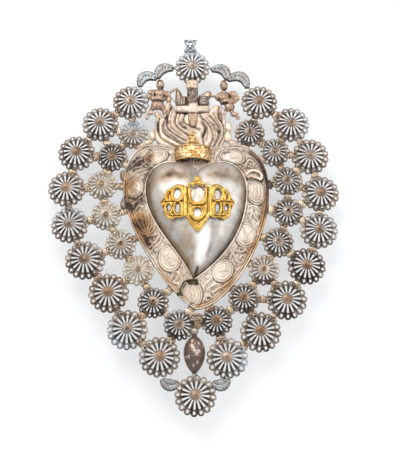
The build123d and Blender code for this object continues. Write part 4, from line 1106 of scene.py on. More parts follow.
borderStainsAndShade = [  # tone, pixels, height, width in mm and amount
    # painted shadow under the crown, in the border's top cleft
    (0, [(181, 160.5), (194, 157.5), (207, 160.5)], 7, 1.7, 0.75),
    (1, [(176, 164), (194, 164), (212, 164)], 7, 4.0, 0.3),
    (0, [(119, 196), (124, 203), (131, 209)], 4, 2.6, 0.6),
    # painted shade in the crack under the curled strip
    (0, [(247, 180), (254, 179), (261, 181)], 6, 0.8, 0.9),
    (0, [(119, 170), (117, 188), (120, 208), (127, 226)], 3, 2.6, 0.55),
    (0, [(124, 172), (130, 164), (138, 158)], 4, 2.0, 0.5),
    (1, [(126, 172), (124, 192), (130, 214), (142, 236)], 4, 5.0, 0.3),
    (0, [(134, 222), (142, 232), (147, 242)], 4, 1.8, 0.5),
    (0, [(146, 168), (152, 171), (148, 176)], 6, 1.8, 0.4),
    (0, [(128, 196), (137, 200), (144, 197)], 5, 1.4, 0.45),
    (1, [(122, 178), (130, 195), (128, 210), (140, 228), (150, 244)], 4, 6.0, 0.45),
    (1, [(140, 168), (132, 182)], 5, 5.0, 0.3), (1, [(152, 160), (148, 158)], 6, 3.0, 0.8),
    (0, [(151, 155), (148, 160), (150, 162)], 6, 1.6, 0.45),
    (0, [(133, 168), (140, 163), (143, 165)], 5, 2.2, 0.6),
    (0, [(130, 182), (133, 190), (137, 193)], 5, 2.4, 0.28),
    (0, [(122, 195), (126, 204), (133, 208), (143, 203)], 4, 2.2, 0.65),
    (0, [(145, 178), (148, 190), (149, 205)], 7, 1.4, 0.4),
    (0, [(140, 222), (148, 232), (150, 238)], 5, 2.6, 0.45),
    (0, [(146, 240), (152, 248), (157, 252)], 5, 1.8, 0.55), (1, [(140, 215), (148, 232)], 5, 4.5, 0.5),
    (0, [(118, 176), (121, 196), (125, 212)], 3, 1.5, 0.6),
    (0, [(128, 222), (138, 240), (150, 258)], 3, 1.3, 0.4),
    (1, [(158, 272), (170, 298), (190, 312), (214, 300), (240, 270), (262, 238), (270, 200)], 3, 3.4, 0.5),
    (1, [(165, 280), (180, 296)], 4, 3.0, 0.35),
    (1, [(262, 150), (268, 170), (270, 200), (266, 222)], 4, 3.0, 0.9),
    (0, [(258, 160), (266, 175), (270, 192)], 3, 1.4, 0.5),
    # first: painted shade in the crack under the curled strip; second: a dark stain beside it
    (0, [(248, 178), (256, 180), (262, 178)], 6, 0.9, 1.2), (0, [(264, 172), (271, 187)], 3, 1.6, 0.7),
    (0, [(228, 152), (224, 153)], 6, 1.4, 0.6), (1, [(240, 170), (262, 172)], 5, 3.0, 0.4),
    (1, [(264, 206), (264, 222), (262, 240)], 4, 3.0, 0.6), (0, [(192, 302), (189, 303.5)], 6, 0.6, 0.6),
    (2, [(250, 152), (260, 162), (267, 178), (269.5, 198), (267, 214)], 3, 2.1, 0.9),
    (2, [(271, 184), (270, 190)], 2, 1.4, 0.6),
]
edge, borderTop = makeBorder()
makeLinks(edge)


# raised heart

domeFolds = [  # soft folds and dents: pixels, width and lift in mm
    ([(186, 222), (189, 240), (193, 262)], 3.2, -0.55), ([(201, 232), (202, 246), (200, 262)], 3.6, 0.55),
    ([(213, 226), (212, 244), (206, 262)], 2.6, -0.5), ([(221, 222), (218, 240), (210, 258)], 2.6, 0.4),
    ([(176, 226), (183, 244), (190, 262)], 3.0, 0.4), ([(160, 178), (163, 196), (170, 214)], 4.5, 0.35),
    ([(240, 178), (238, 196), (232, 212)], 4.5, 0.3), ([(168, 170), (178, 167), (188, 170)], 3.5, 0.4),
    ([(203, 171), (216, 167), (232, 172)], 3.5, 0.4), ([(196.5, 268), (194.5, 277)], 0.5, -0.9),
    ([(193.6, 172), (194, 178), (194.5, 186)], 1.6, -1.3),
]
# stains and smudges, painted shade along the dome's edges and in the slit at the tip, and painted highlights
# in tone 2
domeStainsShadeAndHighlights = [  # as on the border
    (1, [(158, 182), (168, 174), (180, 174), (188, 180)], 17, 6.5, 0.4),
    (0, [(156, 180), (168, 173), (182, 174)], 17, 5.5, 0.24),
    (1, [(202, 180), (212, 174), (226, 174), (238, 182)], 17, 6.5, 0.12),
    (0, [(204, 176), (218, 173), (236, 180)], 17, 5.5, 0.16),
    (0, [(169, 174), (171, 174.4)], 18, 1.3, 0.4), (0, [(218, 176), (222, 176.4)], 18, 1.5, 0.35),
    # painted highlights: the near-white tone 2 down the lower middle of the dome and to its right
    (2, [(197, 219), (201, 232), (202, 246), (200, 258)], 19, 3.4, 1.0),
    (2, [(204, 224), (206, 240), (203, 254)], 19, 2.4, 0.7),
    (0, [(213, 222), (212, 240), (207, 254)], 19, 1.4, 0.3), (2, [(224, 216), (221, 232)], 17, 2.2, 0.3),
    (1, [(149, 182), (150, 200), (157, 222), (170, 244), (184, 262)], 9, 2.6, 0.75),
    # painted shadow along the dome's left and right edges, where it stands proud of the border
    (0, [(149, 186), (149.5, 200), (155, 218), (163, 234), (176, 252), (188, 268)], 8.5, 1.0, 0.55),
    (0, [(247, 184), (246, 204), (240, 220), (228, 244), (210, 266)], 8.5, 0.9, 0.5),
    (1, [(240, 176), (245, 190), (244, 208), (236, 226)], 10, 2.6, 0.45),
    (1, [(160, 178), (172, 172), (182, 174)], 18, 4.0, 0.45),
    (0, [(164, 175), (173, 172), (181, 176)], 18, 2.4, 0.4),
    (0, [(152, 176), (155, 174)], 12, 1.8, 0.45), (1, [(212, 172), (226, 173), (238, 178)], 18, 3.6, 0.45),
    (0, [(216, 173), (228, 174), (235, 178)], 18, 2.2, 0.35),
    (1, [(184, 226), (188, 242), (192, 262)], 19, 3.2, 0.6),
    (1, [(160, 196), (166, 212), (172, 222)], 18, 3.4, 0.4), (1, [(162, 182), (158, 190)], 16, 3.0, -0.4),
    # painted shade in the slit at the tip
    (0, [(197.5, 267), (195.5, 273), (194, 278)], 14, 0.75, 1.3),
    (1, [(176, 246), (186, 262), (191, 272)], 14, 1.6, 0.6),
    (1, [(219, 226), (224, 216)], 18, 2.0, 0.3), (1, [(190, 250), (192, 270)], 17, 1.2, -0.4),
]


def makeDome():
    d = heart
    outline = heartLine(d, 230)
    centre = np.array([d["axis"], d["top"] - d["height"] * d["centre"]])
    cols, rings = len(outline), d["rings"]
    places, height = [], []
    for k in range(rings):
        a = math.pi / 2 * k / rings
        places.append(centre + (outline - centre) * math.cos(a))
        height.append(np.full(cols, d["lip"] - 0.2 + d["rise"] * math.sin(a) ** 0.92))
    places, height = np.vstack(places), np.concatenate(height)
    inward = np.repeat([math.pi / 2 * k / rings for k in range(rings)], cols)
    height += ease(0.12, 0.5, inward) * 0.22 * wander(places, 24, 31, 2)
    height += ease(0.12, 0.4, inward) * 0.05 * wander(places, 5, 33, 2)
    room = ease(0.10, 0.35, inward)
    folds = np.zeros(len(places))
    for pixels, width, lift in domeFolds:
        press(places, folds, smoothLine(seenLine(pixels, d["seen"]), 14), width, lift)
    height += folds * room
    tones = np.zeros((len(places), 3))
    patch = wander(places, 20, 35, 3)
    tones[:, 1] = 0.15 + 0.28 * patch + 0.2 * wander(places, 6, 37, 2) + 0.35 * bump(inward - 0.2, 0.07)
    # smudges, and a painted shadow along the dome's edge where it stands proud of the border
    tones[:, 0] = (0.12 * np.clip(wander(places, 9, 39, 3) * 2, 0, 1) + 0.95 * (1 - ease(0.0, 0.11, inward))
                   + 0.12 * (1 - ease(0.05, 0.3, inward)))
    for channel, pixels, level, width, amount in domeStainsShadeAndHighlights:
        paintStainOrLight(places, tones, channel, pixels, level, width, amount)
    height = np.minimum(height, d["crest"])
    base = np.column_stack([outline, np.full(cols, d["under"])])
    middle = [[centre[0], centre[1], min(d["crest"], height[-cols:].mean())]]
    points = np.vstack([base, np.column_stack([places, height]), middle])
    # the foot ring is darkened with the painted shadow at the edge
    tones = np.vstack([np.tile([0.8, 0.3, 0], (cols, 1)), tones, tones[-1:]])
    faces = gridFaces(rings + 1, cols, True)
    top, last = len(points) - 1, rings * cols
    faces += [[last + k, last + (k + 1) % cols, top] for k in range(cols)]
    faces.append(list(range(cols))[::-1])
    piece = makeMesh("heartDome", points, [f[::-1] for f in faces], np.clip(tones, 0, 1))
    finishPiece(piece, metals["heartSilver"], "polished_silver", "heart_dome")
    print("dome made")


makeDome()


def closeUp(spots, window, level):  # places read off an enlarged part of the photograph
    (cx, cy), scale = window
    return np.array([seenAt(cx + x / scale, cy + y / scale, level) for x, y in spots])


# a sheet with raised and sunk strokes: a stroke is a line, its width and its lift
def relievo(name, outline, holes, spacing, level, under, strokes, metal, slot, replaced, edgeRound=0.6,
            drop=None, ground=0.0, tone=(0.1, 0.15, 0.0), seed=3, grooveDirtAndShadow=0.8, rough=0.06, edgeDirt=0.35):
    places, faces = sheetMesh(outline, holes, spacing)
    rim = np.full(len(places), 1e9)
    for ring in [outline, *holes]:
        rim = np.minimum(rim, lineDistance(places, np.vstack([ring, ring[:1]])))
    height = level - ground - edgeRound * (1 - ease(-0.05, edgeRound, rim))
    tones = np.tile(np.array(tone, float), (len(places), 1))
    relief, raised = np.zeros(len(places)), np.zeros(len(places))
    for line, width, lift in strokes:
        shape = np.zeros(len(places))
        press(places, shape, line, width, 1.0)
        if lift > 0:
            relief = np.maximum(relief, lift * shape)
            raised = np.maximum(raised, shape)
        else:
            height += lift * shape
            tones[:, 0] += grooveDirtAndShadow * shape
    height += relief
    # painted shade along the flanks of raised strokes, and darker on the sunk ground between them
    if ground:
        slope = (4 * raised * (1 - raised)) ** 3
        tones[:, 0] += grooveDirtAndShadow * (0.45 * np.clip(1 - relief / ground, 0, 1) + 0.5 * slope)
    height += rough * wander(places, 1.8, seed, 2) + rough * wander(places, 6, seed + 1, 2)
    tones[:, 0] += edgeDirt * (1 - ease(0, 0.5, rim)) + 0.12 * wander(places, 5, seed + 2)
    tones[:, 1] += 0.25 * wander(places, 8, seed + 3)
    low = np.full(len(places), float(under))
    if drop is not None:
        height, low = height - drop(places), low - drop(places)
    points, solid = thicken(places, faces, height, low)
    piece = makeMesh(name, points, solid, np.clip(np.vstack([tones, tones + [0.3, 0.1, 0]]), 0, 1))
    return finishPiece(piece, metals[metal], slot, *replaced)


def ringOf(line, count):
    line = np.vstack([line, line[:1]])
    return spread(line, count + 1)[:-1]


# flames and cross

crestView = ((145, 75), 15.68)
flame = {
    "outline": [(480, 1170), (330, 1130), (190, 1060), (150, 930), (155, 780), (172, 660), (138, 600),
                (185, 572), (245, 610), (285, 675), (292, 600), (300, 520), (330, 455), (385, 428),
                (450, 500), (500, 590), (740, 610), (960, 580), (1040, 520), (1110, 475), (1185, 495),
                (1205, 560), (1200, 600), (1252, 650), (1268, 760), (1262, 900), (1245, 1040), (1180, 1130),
                (1040, 1180), (1000, 1290), (520, 1290)],
    "grooves": [[(610, 1100), (430, 1000), (330, 940), (285, 880), (275, 800), (310, 700), (335, 560)],
                [(640, 1040), (500, 950), (400, 880), (340, 800), (345, 700), (375, 600), (420, 500)],
                [(700, 960), (600, 890), (520, 830), (480, 770), (470, 700), (500, 600)],
                [(860, 860), (740, 800), (640, 770), (600, 720), (610, 670), (640, 600)],
                [(560, 1150), (400, 1080), (270, 1000), (215, 900), (205, 780), (225, 690)],
                [(930, 1120), (905, 1000), (930, 930), (950, 870), (930, 810), (890, 740)],
                [(1010, 1120), (1060, 990), (1060, 920), (1040, 850), (1000, 780), (930, 700)],
                [(1080, 1120), (1150, 960), (1165, 870), (1140, 790), (1080, 710), (1010, 640)],
                [(1150, 1120), (1220, 980), (1240, 880), (1215, 770), (1160, 680), (1150, 580), (1160, 500)]],
    "darks": [[(195, 740), (205, 880)], [(400, 480), (410, 520)], [(870, 640), (910, 700)],
              [(900, 950), (950, 840)], [(1080, 780), (1150, 900)], [(330, 640), (360, 760)],
              [(560, 760), (640, 830)], [(1180, 600), (1200, 720)]],
    "level": 3.1, "under": 0.85, "spacing": 0.5, "edgeSeen": 2.5, "seen": 2.8, "nearGroove": 9.0,
}
cross = {
    "shaft": [(660, 84), (828, 84), (832, 470), (1006, 474), (1010, 572), (828, 574), (824, 690), (812, 750),
              (785, 800), (745, 812), (712, 790), (690, 740), (678, 690), (674, 574), (484, 572), (480, 476),
              (660, 470)],
    "cap": [(646, 78), (720, 72), (826, 82), (832, 120), (824, 214), (740, 204), (652, 212), (642, 140)],
    "cuts": [([(672, 220), (676, 470)], 0.35, -0.4), ([(490, 590), (1005, 590)], 0.4, -0.3)],
    "capStroke": [(690, 110), (780, 180)],
    "level": 4.75, "under": 0.85, "seen": 4.8, "capLevel": 5.5, "capUnder": 4.7, "capSeen": 5.2,
    "darkFrom": 34.0, "darkTo": 46.5, "pinkFrom": 53.0,  # mm below the nail hole
}
mound = {  # the stepped pieces beside the shaft
    "left": [(482, 250), (520, 215), (562, 260), (590, 320), (655, 330), (657, 470), (486, 470)],
    "right": [(838, 330), (890, 292), (940, 262), (985, 235), (1040, 262), (1036, 330), (1006, 380),
              (1000, 470), (838, 470)],
    "ribs": [[(x, 330), (x - 8, 455)] for x in (520, 560, 600, 640)],
    "arcs": [[(850, y), (920, y - 45), (990, y)] for y in (370, 410, 455)],
    "seen": 2.6, "under": 0.85, "low": 1.3, "rise": 1.3, "slope": 1.8, "spacing": 0.45, "brightShare": 68,
}


def makeFlames():
    d = flame
    outline = ringOf(smoothLine(closeUp(d["outline"], crestView, d["edgeSeen"]), 260, True), 240)
    grooves = [smoothLine(closeUp(g, crestView, d["seen"]), 24) for g in d["grooves"]]
    strokes = [(g, 0.55, -0.95) for g in grooves]
    for a, b in zip(grooves, grooves[1:]):
        if abs(a[0][0] - b[0][0]) < d["nearGroove"]:  # a fine groove and a crest between two near ones
            strokes += [((0.62 * a + 0.38 * b)[4:], 0.3, -0.35), ((0.4 * a + 0.6 * b), 0.75, 0.6)]
    strokes += [(closeUp(s, crestView, d["seen"]), 1.0, -0.8) for s in d["darks"]]
    relievo("flameLeaves", outline, [], d["spacing"], d["level"], d["under"], strokes, "borderSilver",
            "pale_silver", ["flame_sheet"], edgeRound=0.9, tone=(0.13, 0.34, 0.12), seed=61, grooveDirtAndShadow=0.7,
            rough=0.12)
    print("flames made")


def makeCross():
    d = cross
    outline = ringOf(closeUp(d["shaft"], crestView, d["seen"]), 210)
    cuts = [(closeUp(spots, crestView, d["seen"]), width, lift) for spots, width, lift in d["cuts"]]
    piece = relievo("crossBody", outline, [], 0.5, d["level"], d["under"], cuts, "borderSilver",
                    "pale_silver", ["cross"], edgeRound=0.8, tone=(0.12, 0.25, 0.05), seed=67)
    colors = piece.data.attributes["tone"].data
    for k, v in enumerate(piece.data.vertices):
        low = -v.co.z / mm
        gray = 0.75 * (1 if d["darkFrom"] < low < d["darkTo"] else 0.3)
        pink = 0.4 if low > d["pinkFrom"] else 0.0
        c = colors[k].color
        colors[k].color = (min(1, c[0] + gray), min(1, c[1] + pink), min(1, c[2] + pink * 0.5), 1)
    cap = ringOf(smoothLine(closeUp(d["cap"], crestView, d["capSeen"]), 60, True), 60)
    stroke = (closeUp(d["capStroke"], crestView, d["capSeen"]), 0.6, 0.25)
    relievo("crossCap", cap, [], 0.45, d["capLevel"], d["capUnder"], [stroke], "creamSilver", "pale_silver",
            ["cross_cap"], edgeRound=0.7, tone=(0.25, 0.4, 0.0), seed=71, rough=0.22)
    makeMounds()
    print("cross made")


def makeMounds():
    d = mound
    left, right = (ringOf(smoothLine(closeUp(d[side], crestView, d["seen"]), 90, True), 90)
                   for side in ("left", "right"))
    ribs = [(closeUp(s, crestView, d["seen"]), 0.3, -0.5) for s in d["ribs"]]
    arcs = [(smoothLine(closeUp(s, crestView, d["seen"]), 12), 0.3, -0.45) for s in d["arcs"]]
    both = Pile()
    for ring, strokes, seed in ((left, ribs, 73), (right, arcs, 77)):
        places, faces = sheetMesh(ring, [], d["spacing"])
        rim = lineDistance(places, np.vstack([ring, ring[:1]]))
        height = d["low"] + d["rise"] * ease(0, d["slope"], rim)
        tones = np.tile([0.35, 0.35, 0.1], (len(places), 1)).astype(float)
        for line, width, lift in strokes:
            press(places, height, line, width, lift, tones, 0, 0.6)
        high = places[:, 1] > np.percentile(places[:, 1], d["brightShare"])
        tones[high] = [0.05, 0.35, 0.0]
        height += 0.1 * wander(places, 2, seed)
        points, solid = thicken(places, faces, height, np.full(len(places), d["under"]))
        both.add(points, solid, np.clip(np.vstack([tones, tones]), 0, 1))
    finishPiece(both.make("crossMounds"), metals["rosetteSilver"], "tarnished_silver", "arm_mounds")


# crown and its ornament

crown = {"axis": 1.7, "halfWidth": 12.0, "depth": 10.4, "seat": 4.9, "low": -90.1, "high": -80.0,
         "flare": 1.07, "wall": 1.0, "cols": 230, "rows": 54, "grain": 0.78, "lift": 0.55, "grainFrom": 1.9,
         "grainTo": 8.6, "lowRope": 0.75, "highRope": 9.3, "twist": 1.1}
orb = {
    "level": -79.6, "forward": 14.0,
    "lumps": [  # shift, half sizes in mm and tone
        ((0, 1.6, 0), (2.3, 2.2, 1.6), (0.1, 0.6, 0)), ((-2.3, 1.3, -0.2), (1.3, 1.7, 1.0), (0.1, 0.3, 0.1)),
        ((2.4, 1.2, -0.2), (1.3, 1.7, 1.0), (0.1, 0.7, 0)),
        ((-1.2, 4.3, -0.1), (1.25, 1.5, 1.0), (0.1, 0.7, 0)),
        ((1.2, 4.3, -0.1), (1.25, 1.5, 1.0), (0.15, 0.4, 0)), ((0, 6.4, 0), (1.35, 1.4, 1.1), (0.0, 0.8, 0)),
        ((-3.3, 0.4, -0.4), (0.8, 0.8, 0.8), (0.1, 0.1, 0.3)),
        ((3.4, 0.4, -0.4), (0.8, 0.8, 0.8), (0.1, 0.8, 0)), ((0, 3.4, 0.9), (0.9, 0.9, 0.7), (0, 0.1, 0.4)),
        ((-1.4, 0.3, 0.5), (0.75, 0.6, 0.5), (1, 0, 0)), ((1.5, 0.2, 0.5), (0.75, 0.6, 0.5), (1, 0, 0)),
    ],
}


def makeCrown():
    d = crown
    cols, rows = d["cols"], d["rows"]
    rng = np.random.default_rng(83)
    around = np.linspace(0, math.pi, cols)
    length = math.pi * 0.5 * (d["halfWidth"] + d["depth"])
    across = around / math.pi * length
    u, v = np.meshgrid(across, np.linspace(0, 1, rows) * (d["high"] - d["low"]))
    seeds = []
    for r, z in enumerate(np.arange(d["grainFrom"], d["grainTo"], d["grain"] * 1.25)):
        for s in np.arange((r % 2) * d["grain"] * 0.7, length, d["grain"] * 1.45):
            place = (s + rng.normal() * 0.16, z + rng.normal() * 0.14)
            seeds.append((*place, d["grain"] * (0.7 + 0.5 * rng.random())))
    seeds = np.array(seeds)
    lump = np.zeros(u.shape)
    own = np.zeros(u.shape, int)
    for k, (s, z, size) in enumerate(seeds):
        far = np.hypot(u - s, v - z) / size
        shape = size * 0.75 * np.sqrt(np.clip(1 - far ** 2, 0, 1))
        own = np.where(shape > lump, k, own)
        lump = np.maximum(lump, shape)
    twist = u * 2 * math.pi / d["twist"]
    rope = 0.55 * bump(v - d["lowRope"], 0.55) * (0.75 + 0.25 * np.cos(twist + v * 2.5))
    rope += 0.5 * bump(v - d["highRope"], 0.5) * (0.75 + 0.25 * np.cos(twist - v * 2.5))
    push = np.maximum(lump * d["lift"] / 0.55, rope) - 0.3
    tones = np.zeros((rows, cols, 3))
    pick = rng.random(len(seeds))
    tones[..., 0] = 0.9 * (1 - ease(0.0, 0.4, np.maximum(lump, rope))) + 0.06
    tones[..., 1] = np.where(lump > 0, 0.15 + 0.75 * (pick[own] > 0.55), 0.35)
    tones[..., 2] = np.where(lump > 0, 0.8 * (pick[own] < 0.28), 0.1)
    tall = d["high"] - d["low"]
    flare = 1 + (d["flare"] - 1) * v / tall + 0.012 * np.cos(math.pi * v / tall)

    def shell(reach, lift):
        x = d["axis"] + (d["halfWidth"] * flare - reach + lift) * np.cos(around)
        h = d["seat"] + (d["depth"] * flare - reach + lift) * np.sin(around)
        return np.column_stack([x.ravel(), (d["low"] + v).ravel(), h.ravel()])

    outer, inner = shell(0.35, push * 0.6), shell(d["wall"] + 0.6, 0 * push)
    count = rows * cols
    faces = gridFaces(rows, cols)
    solid = faces + [[i + count for i in f[::-1]] for f in faces]
    loop = list(range(cols)) + [r * cols + cols - 1 for r in range(1, rows)]
    loop += [(rows - 1) * cols + c for c in range(cols - 2, -1, -1)]
    loop += [r * cols for r in range(rows - 2, 0, -1)]
    for a, b in zip(loop, loop[1:] + loop[:1]):
        solid.append([b, a, a + count, b + count])
    back = np.tile([0.5, 0.5, 0.0], (count, 1))
    tones = np.clip(np.vstack([tones.reshape(-1, 3), back]), 0, 1)
    piece = makeMesh("crownBand", np.vstack([outer, inner]), solid, tones)
    finishPiece(piece, metals["orangeGilt"], "gilt", "crown")
    ornament = Pile()
    for (dx, dz, dh), radii, tone in orb["lumps"]:
        ornament.add(*ball((d["axis"] + dx, orb["level"] + dz, orb["forward"] + dh), radii, 18, 12), tone)
    finishPiece(ornament.make("crownOrnament"), metals["orangeGilt"], "gilt", "crown_orb")
    print("crown made")


# gilt plaque

plaqueView = ((155, 165), 18.45)
plaque = {
    "axis": 785, "level": 21.72, "under": 21.25, "panel": 8.0, "wingDrop": 3.9, "reach": 24.4, "spacing": 0.3,
    "seen": 22, "ground": 0.45, "raised": 0.35,
    "half": [(0, 190), (48, 225), (72, 292), (118, 322), (178, 352), (196, 392), (250, 372), (330, 345),
             (400, 352), (470, 382), (545, 425), (600, 500), (628, 575), (688, 650), (650, 730), (622, 800),
             (606, 880), (552, 968), (470, 985), (400, 958), (310, 968), (238, 938), (196, 985), (128, 1105),
             (45, 1200)],
    "tip": 1228,
    "holes": [((375, 520), 62, 98), ((372, 782), 42, 96), ((536, 765), 40, 62), ((0, 520), 124, 155),
              ((130, 400), 26, 40), ((0, 868), 72, 84)],
    "strokes": [  # mirrored strokes: spots, width and lift
        ([(236, 388), (236, 935)], 0.62, 0.65),
        ([(0, 326), (95, 350), (152, 430), (162, 520), (145, 620), (90, 700), (0, 716)], 0.5, 0.65),
        ([(0, 762), (90, 782), (130, 850), (112, 932), (55, 985), (0, 998)], 0.48, 0.6),
        ([(0, 255), (60, 300), (125, 345), (190, 405)], 0.42, 0.55),
        ([(375, 388), (450, 420), (480, 520), (450, 620), (375, 652), (300, 620), (270, 520), (300, 420),
          (375, 388)], 0.46, 0.6),
        ([(372, 655), (425, 690), (448, 780), (425, 870), (372, 910), (318, 870), (296, 780), (318, 690),
          (372, 655)], 0.44, 0.6),
        ([(536, 672), (590, 700), (608, 765), (590, 830), (536, 858), (482, 830), (466, 765)], 0.44, 0.6),
        ([(505, 425), (565, 480), (598, 560), (575, 630), (520, 625), (520, 575)], 0.44, 0.6),
        ([(300, 945), (400, 938), (480, 950), (560, 925), (600, 850)], 0.42, 0.5),
        ([(10, 1170), (70, 1090), (140, 1000), (190, 900)], 0.44, 0.55),
        ([(190, 430), (186, 700), (180, 900)], 0.36, -0.25), ([(286, 640), (286, 660)], 0.5, -0.25),
        ([(0, 740), (90, 742), (150, 715)], 0.34, -0.25), ([(0, 1045), (70, 1020), (140, 935)], 0.36, -0.25),
        ([(300, 655), (375, 672), (450, 655), (560, 648), (655, 652)], 0.32, -0.25),
        ([(458, 690), (458, 880)], 0.34, -0.25),
        ([(500, 480), (548, 540), (545, 590)], 0.36, -0.25),
        ([(300, 930), (420, 925), (520, 905)], 0.34, -0.25),
        ([(640, 600), (648, 610)], 0.45, -0.3), ([(630, 720), (636, 730)], 0.45, -0.3),
        ([(60, 290), (110, 320)], 0.34, -0.25),
    ],
    "pearls": [((0, 1060), 0.55), ((0, 722), 0.6), ((640, 640), 0.55), ((500, 905), 0.5), ((0, 250), 0.6),
               ((45, 1090), 0.4), ((605, 560), 0.45), ((575, 900), 0.45), ((238, 350), 0.45)],
}


def makePlaque():
    d = plaque

    def mirrored(spots):
        return [[(d["axis"] + s * x, y) for x, y in spots] for s in (1, -1)]

    right, left = mirrored(d["half"])
    outline = right + [(d["axis"], d["tip"])] + left[:0:-1]
    outline = ringOf(smoothLine(closeUp(outline, plaqueView, d["seen"]), 330, True), 300)
    axisX = closeUp([(d["axis"], 600)], plaqueView, d["seen"])[0, 0]
    holes = []
    for (x, y), rx, ry in d["holes"]:
        for s in (1, -1) if x else (1,):
            ring = ovalRing((d["axis"] + s * x, y), rx, ry, 0, 26)
            holes.append(closeUp(ring, plaqueView, d["seen"]))
    strokes = []
    for spots, width, lift in d["strokes"]:
        for side in mirrored(spots):
            line = closeUp(side, plaqueView, d["seen"])
            strokes.append((smoothLine(line, 32) if len(line) > 2 else line, width, lift))
    for spot, size in d["pearls"]:
        for side in mirrored([spot]):
            p = closeUp(side, plaqueView, d["seen"])[0]
            strokes.append((np.array([p, p + [0.01, 0.01]]), size * 1.05, 0.65))
    strokes.append((np.vstack([outline, outline[:1]]), 0.4, 0.42))

    def drop(places):
        past = np.clip(np.abs(places[:, 0] - axisX) - d["panel"], 0, None)
        return d["wingDrop"] * (past / (d["reach"] - d["panel"])) ** 1.25

    relievo("giltPlaque", outline, holes, d["spacing"], d["level"] + d["raised"], d["under"], strokes,
            "yellowGilt", "gilt", ["gilt_plaque"], edgeRound=0.22, drop=drop, ground=d["ground"],
            tone=(0.03, 0.32, 0.0), seed=91, grooveDirtAndShadow=1.1, rough=0.03)
    print("plaque made")


makeFlames()
makeCross()
makeCrown()
makePlaque()


# leaf brackets round the top and under the drop

bracket = {
    "width": 7.6, "tip": 0.36, "level": 2.0, "under": 0.15,
    "top": [((-11.3, -19.3), (-22.2, -26.6), 0.70), ((-22.8, -26.8), (-34.2, -32.6), 0.87),
            ((24.8, -27.6), (14.2, -20.2), 0.78), ((38.6, -33.6), (25.4, -27.8), 0.87)],
    "bottom": [((-6.6, -234.8), (-17.1, -233.0), -0.52), ((24.4, -232.8), (14.4, -234.8), -0.57)],
    "middle": (3.0, -125.0), "spacing": 0.42, "edge": 0.7, "groove": 0.35, "vein": 0.16,
}


def makeBrackets(name, rows, replaced):
    pile = Pile()
    d = bracket
    for seed, (a, b, bulge) in enumerate(rows):
        a, b = np.array(a), np.array(b)
        chord = b - a
        side = np.array([-chord[1], chord[0]]) / np.linalg.norm(chord)
        if side @ ((a + b) / 2 - np.array(d["middle"])) < 0:  # the leaf bulges away from the middle
            side = -side
        t = np.linspace(0, 1, 40)
        arc = np.sin(math.pi * t) ** 0.8
        middle = a + np.outer(t, chord) + np.outer(arc, side) * abs(bulge) * np.linalg.norm(chord) / 2
        way = np.gradient(middle, axis=0)
        way /= np.linalg.norm(way, axis=1)[:, None]
        out = np.stack([-way[:, 1], way[:, 0]], 1)
        half = d["width"] / 2 * (d["tip"] + (1 - d["tip"]) * np.sin(math.pi * t) ** 0.7)
        half *= 1 + 0.06 * np.cos(t * 60)  # a lobed edge
        outline = np.vstack([middle + out * half[:, None], (middle - out * half[:, None])[::-1]])
        outline = ringOf(outline, 110)
        places, faces = sheetMesh(outline, [], d["spacing"])
        rim = lineDistance(places, np.vstack([outline, outline[:1]]))
        mid = lineDistance(places, middle)
        near = np.argmin(((places[:, None, :] - middle[None, ::2]) ** 2).sum(2), axis=1) * 2
        height = d["level"] - d["edge"] * (1 - ease(0, d["edge"], rim)) - d["groove"] * bump(mid, 0.5)
        veins = np.cos(t[near] * 46 + mid * 2.4)
        height += d["vein"] * veins + 0.12 * wander(places, 1.6, 120 + seed)
        tones = np.zeros((len(places), 3))
        tones[:, 0] = 0.16 + 0.3 * np.clip(-veins, 0, 1) + 0.3 * bump(mid, 0.4)
        tones[:, 0] += 0.65 * (1 - ease(0.1, 0.9, rim))
        tones[:, 1] = 0.3 * (wander(places, 6, 130 + seed) > 0.2)
        tones[:, 2] = 0.55 * ease(0.0, 0.5, wander(places, 9, 140 + seed))
        points, solid = thicken(places, faces, height, np.full(len(places), d["under"]))
        pile.add(points, solid, np.clip(np.vstack([tones, tones]), 0, 1))
    finishPiece(pile.make(name), metals["leafSilver"], "tarnished_silver", replaced)


# winged figures

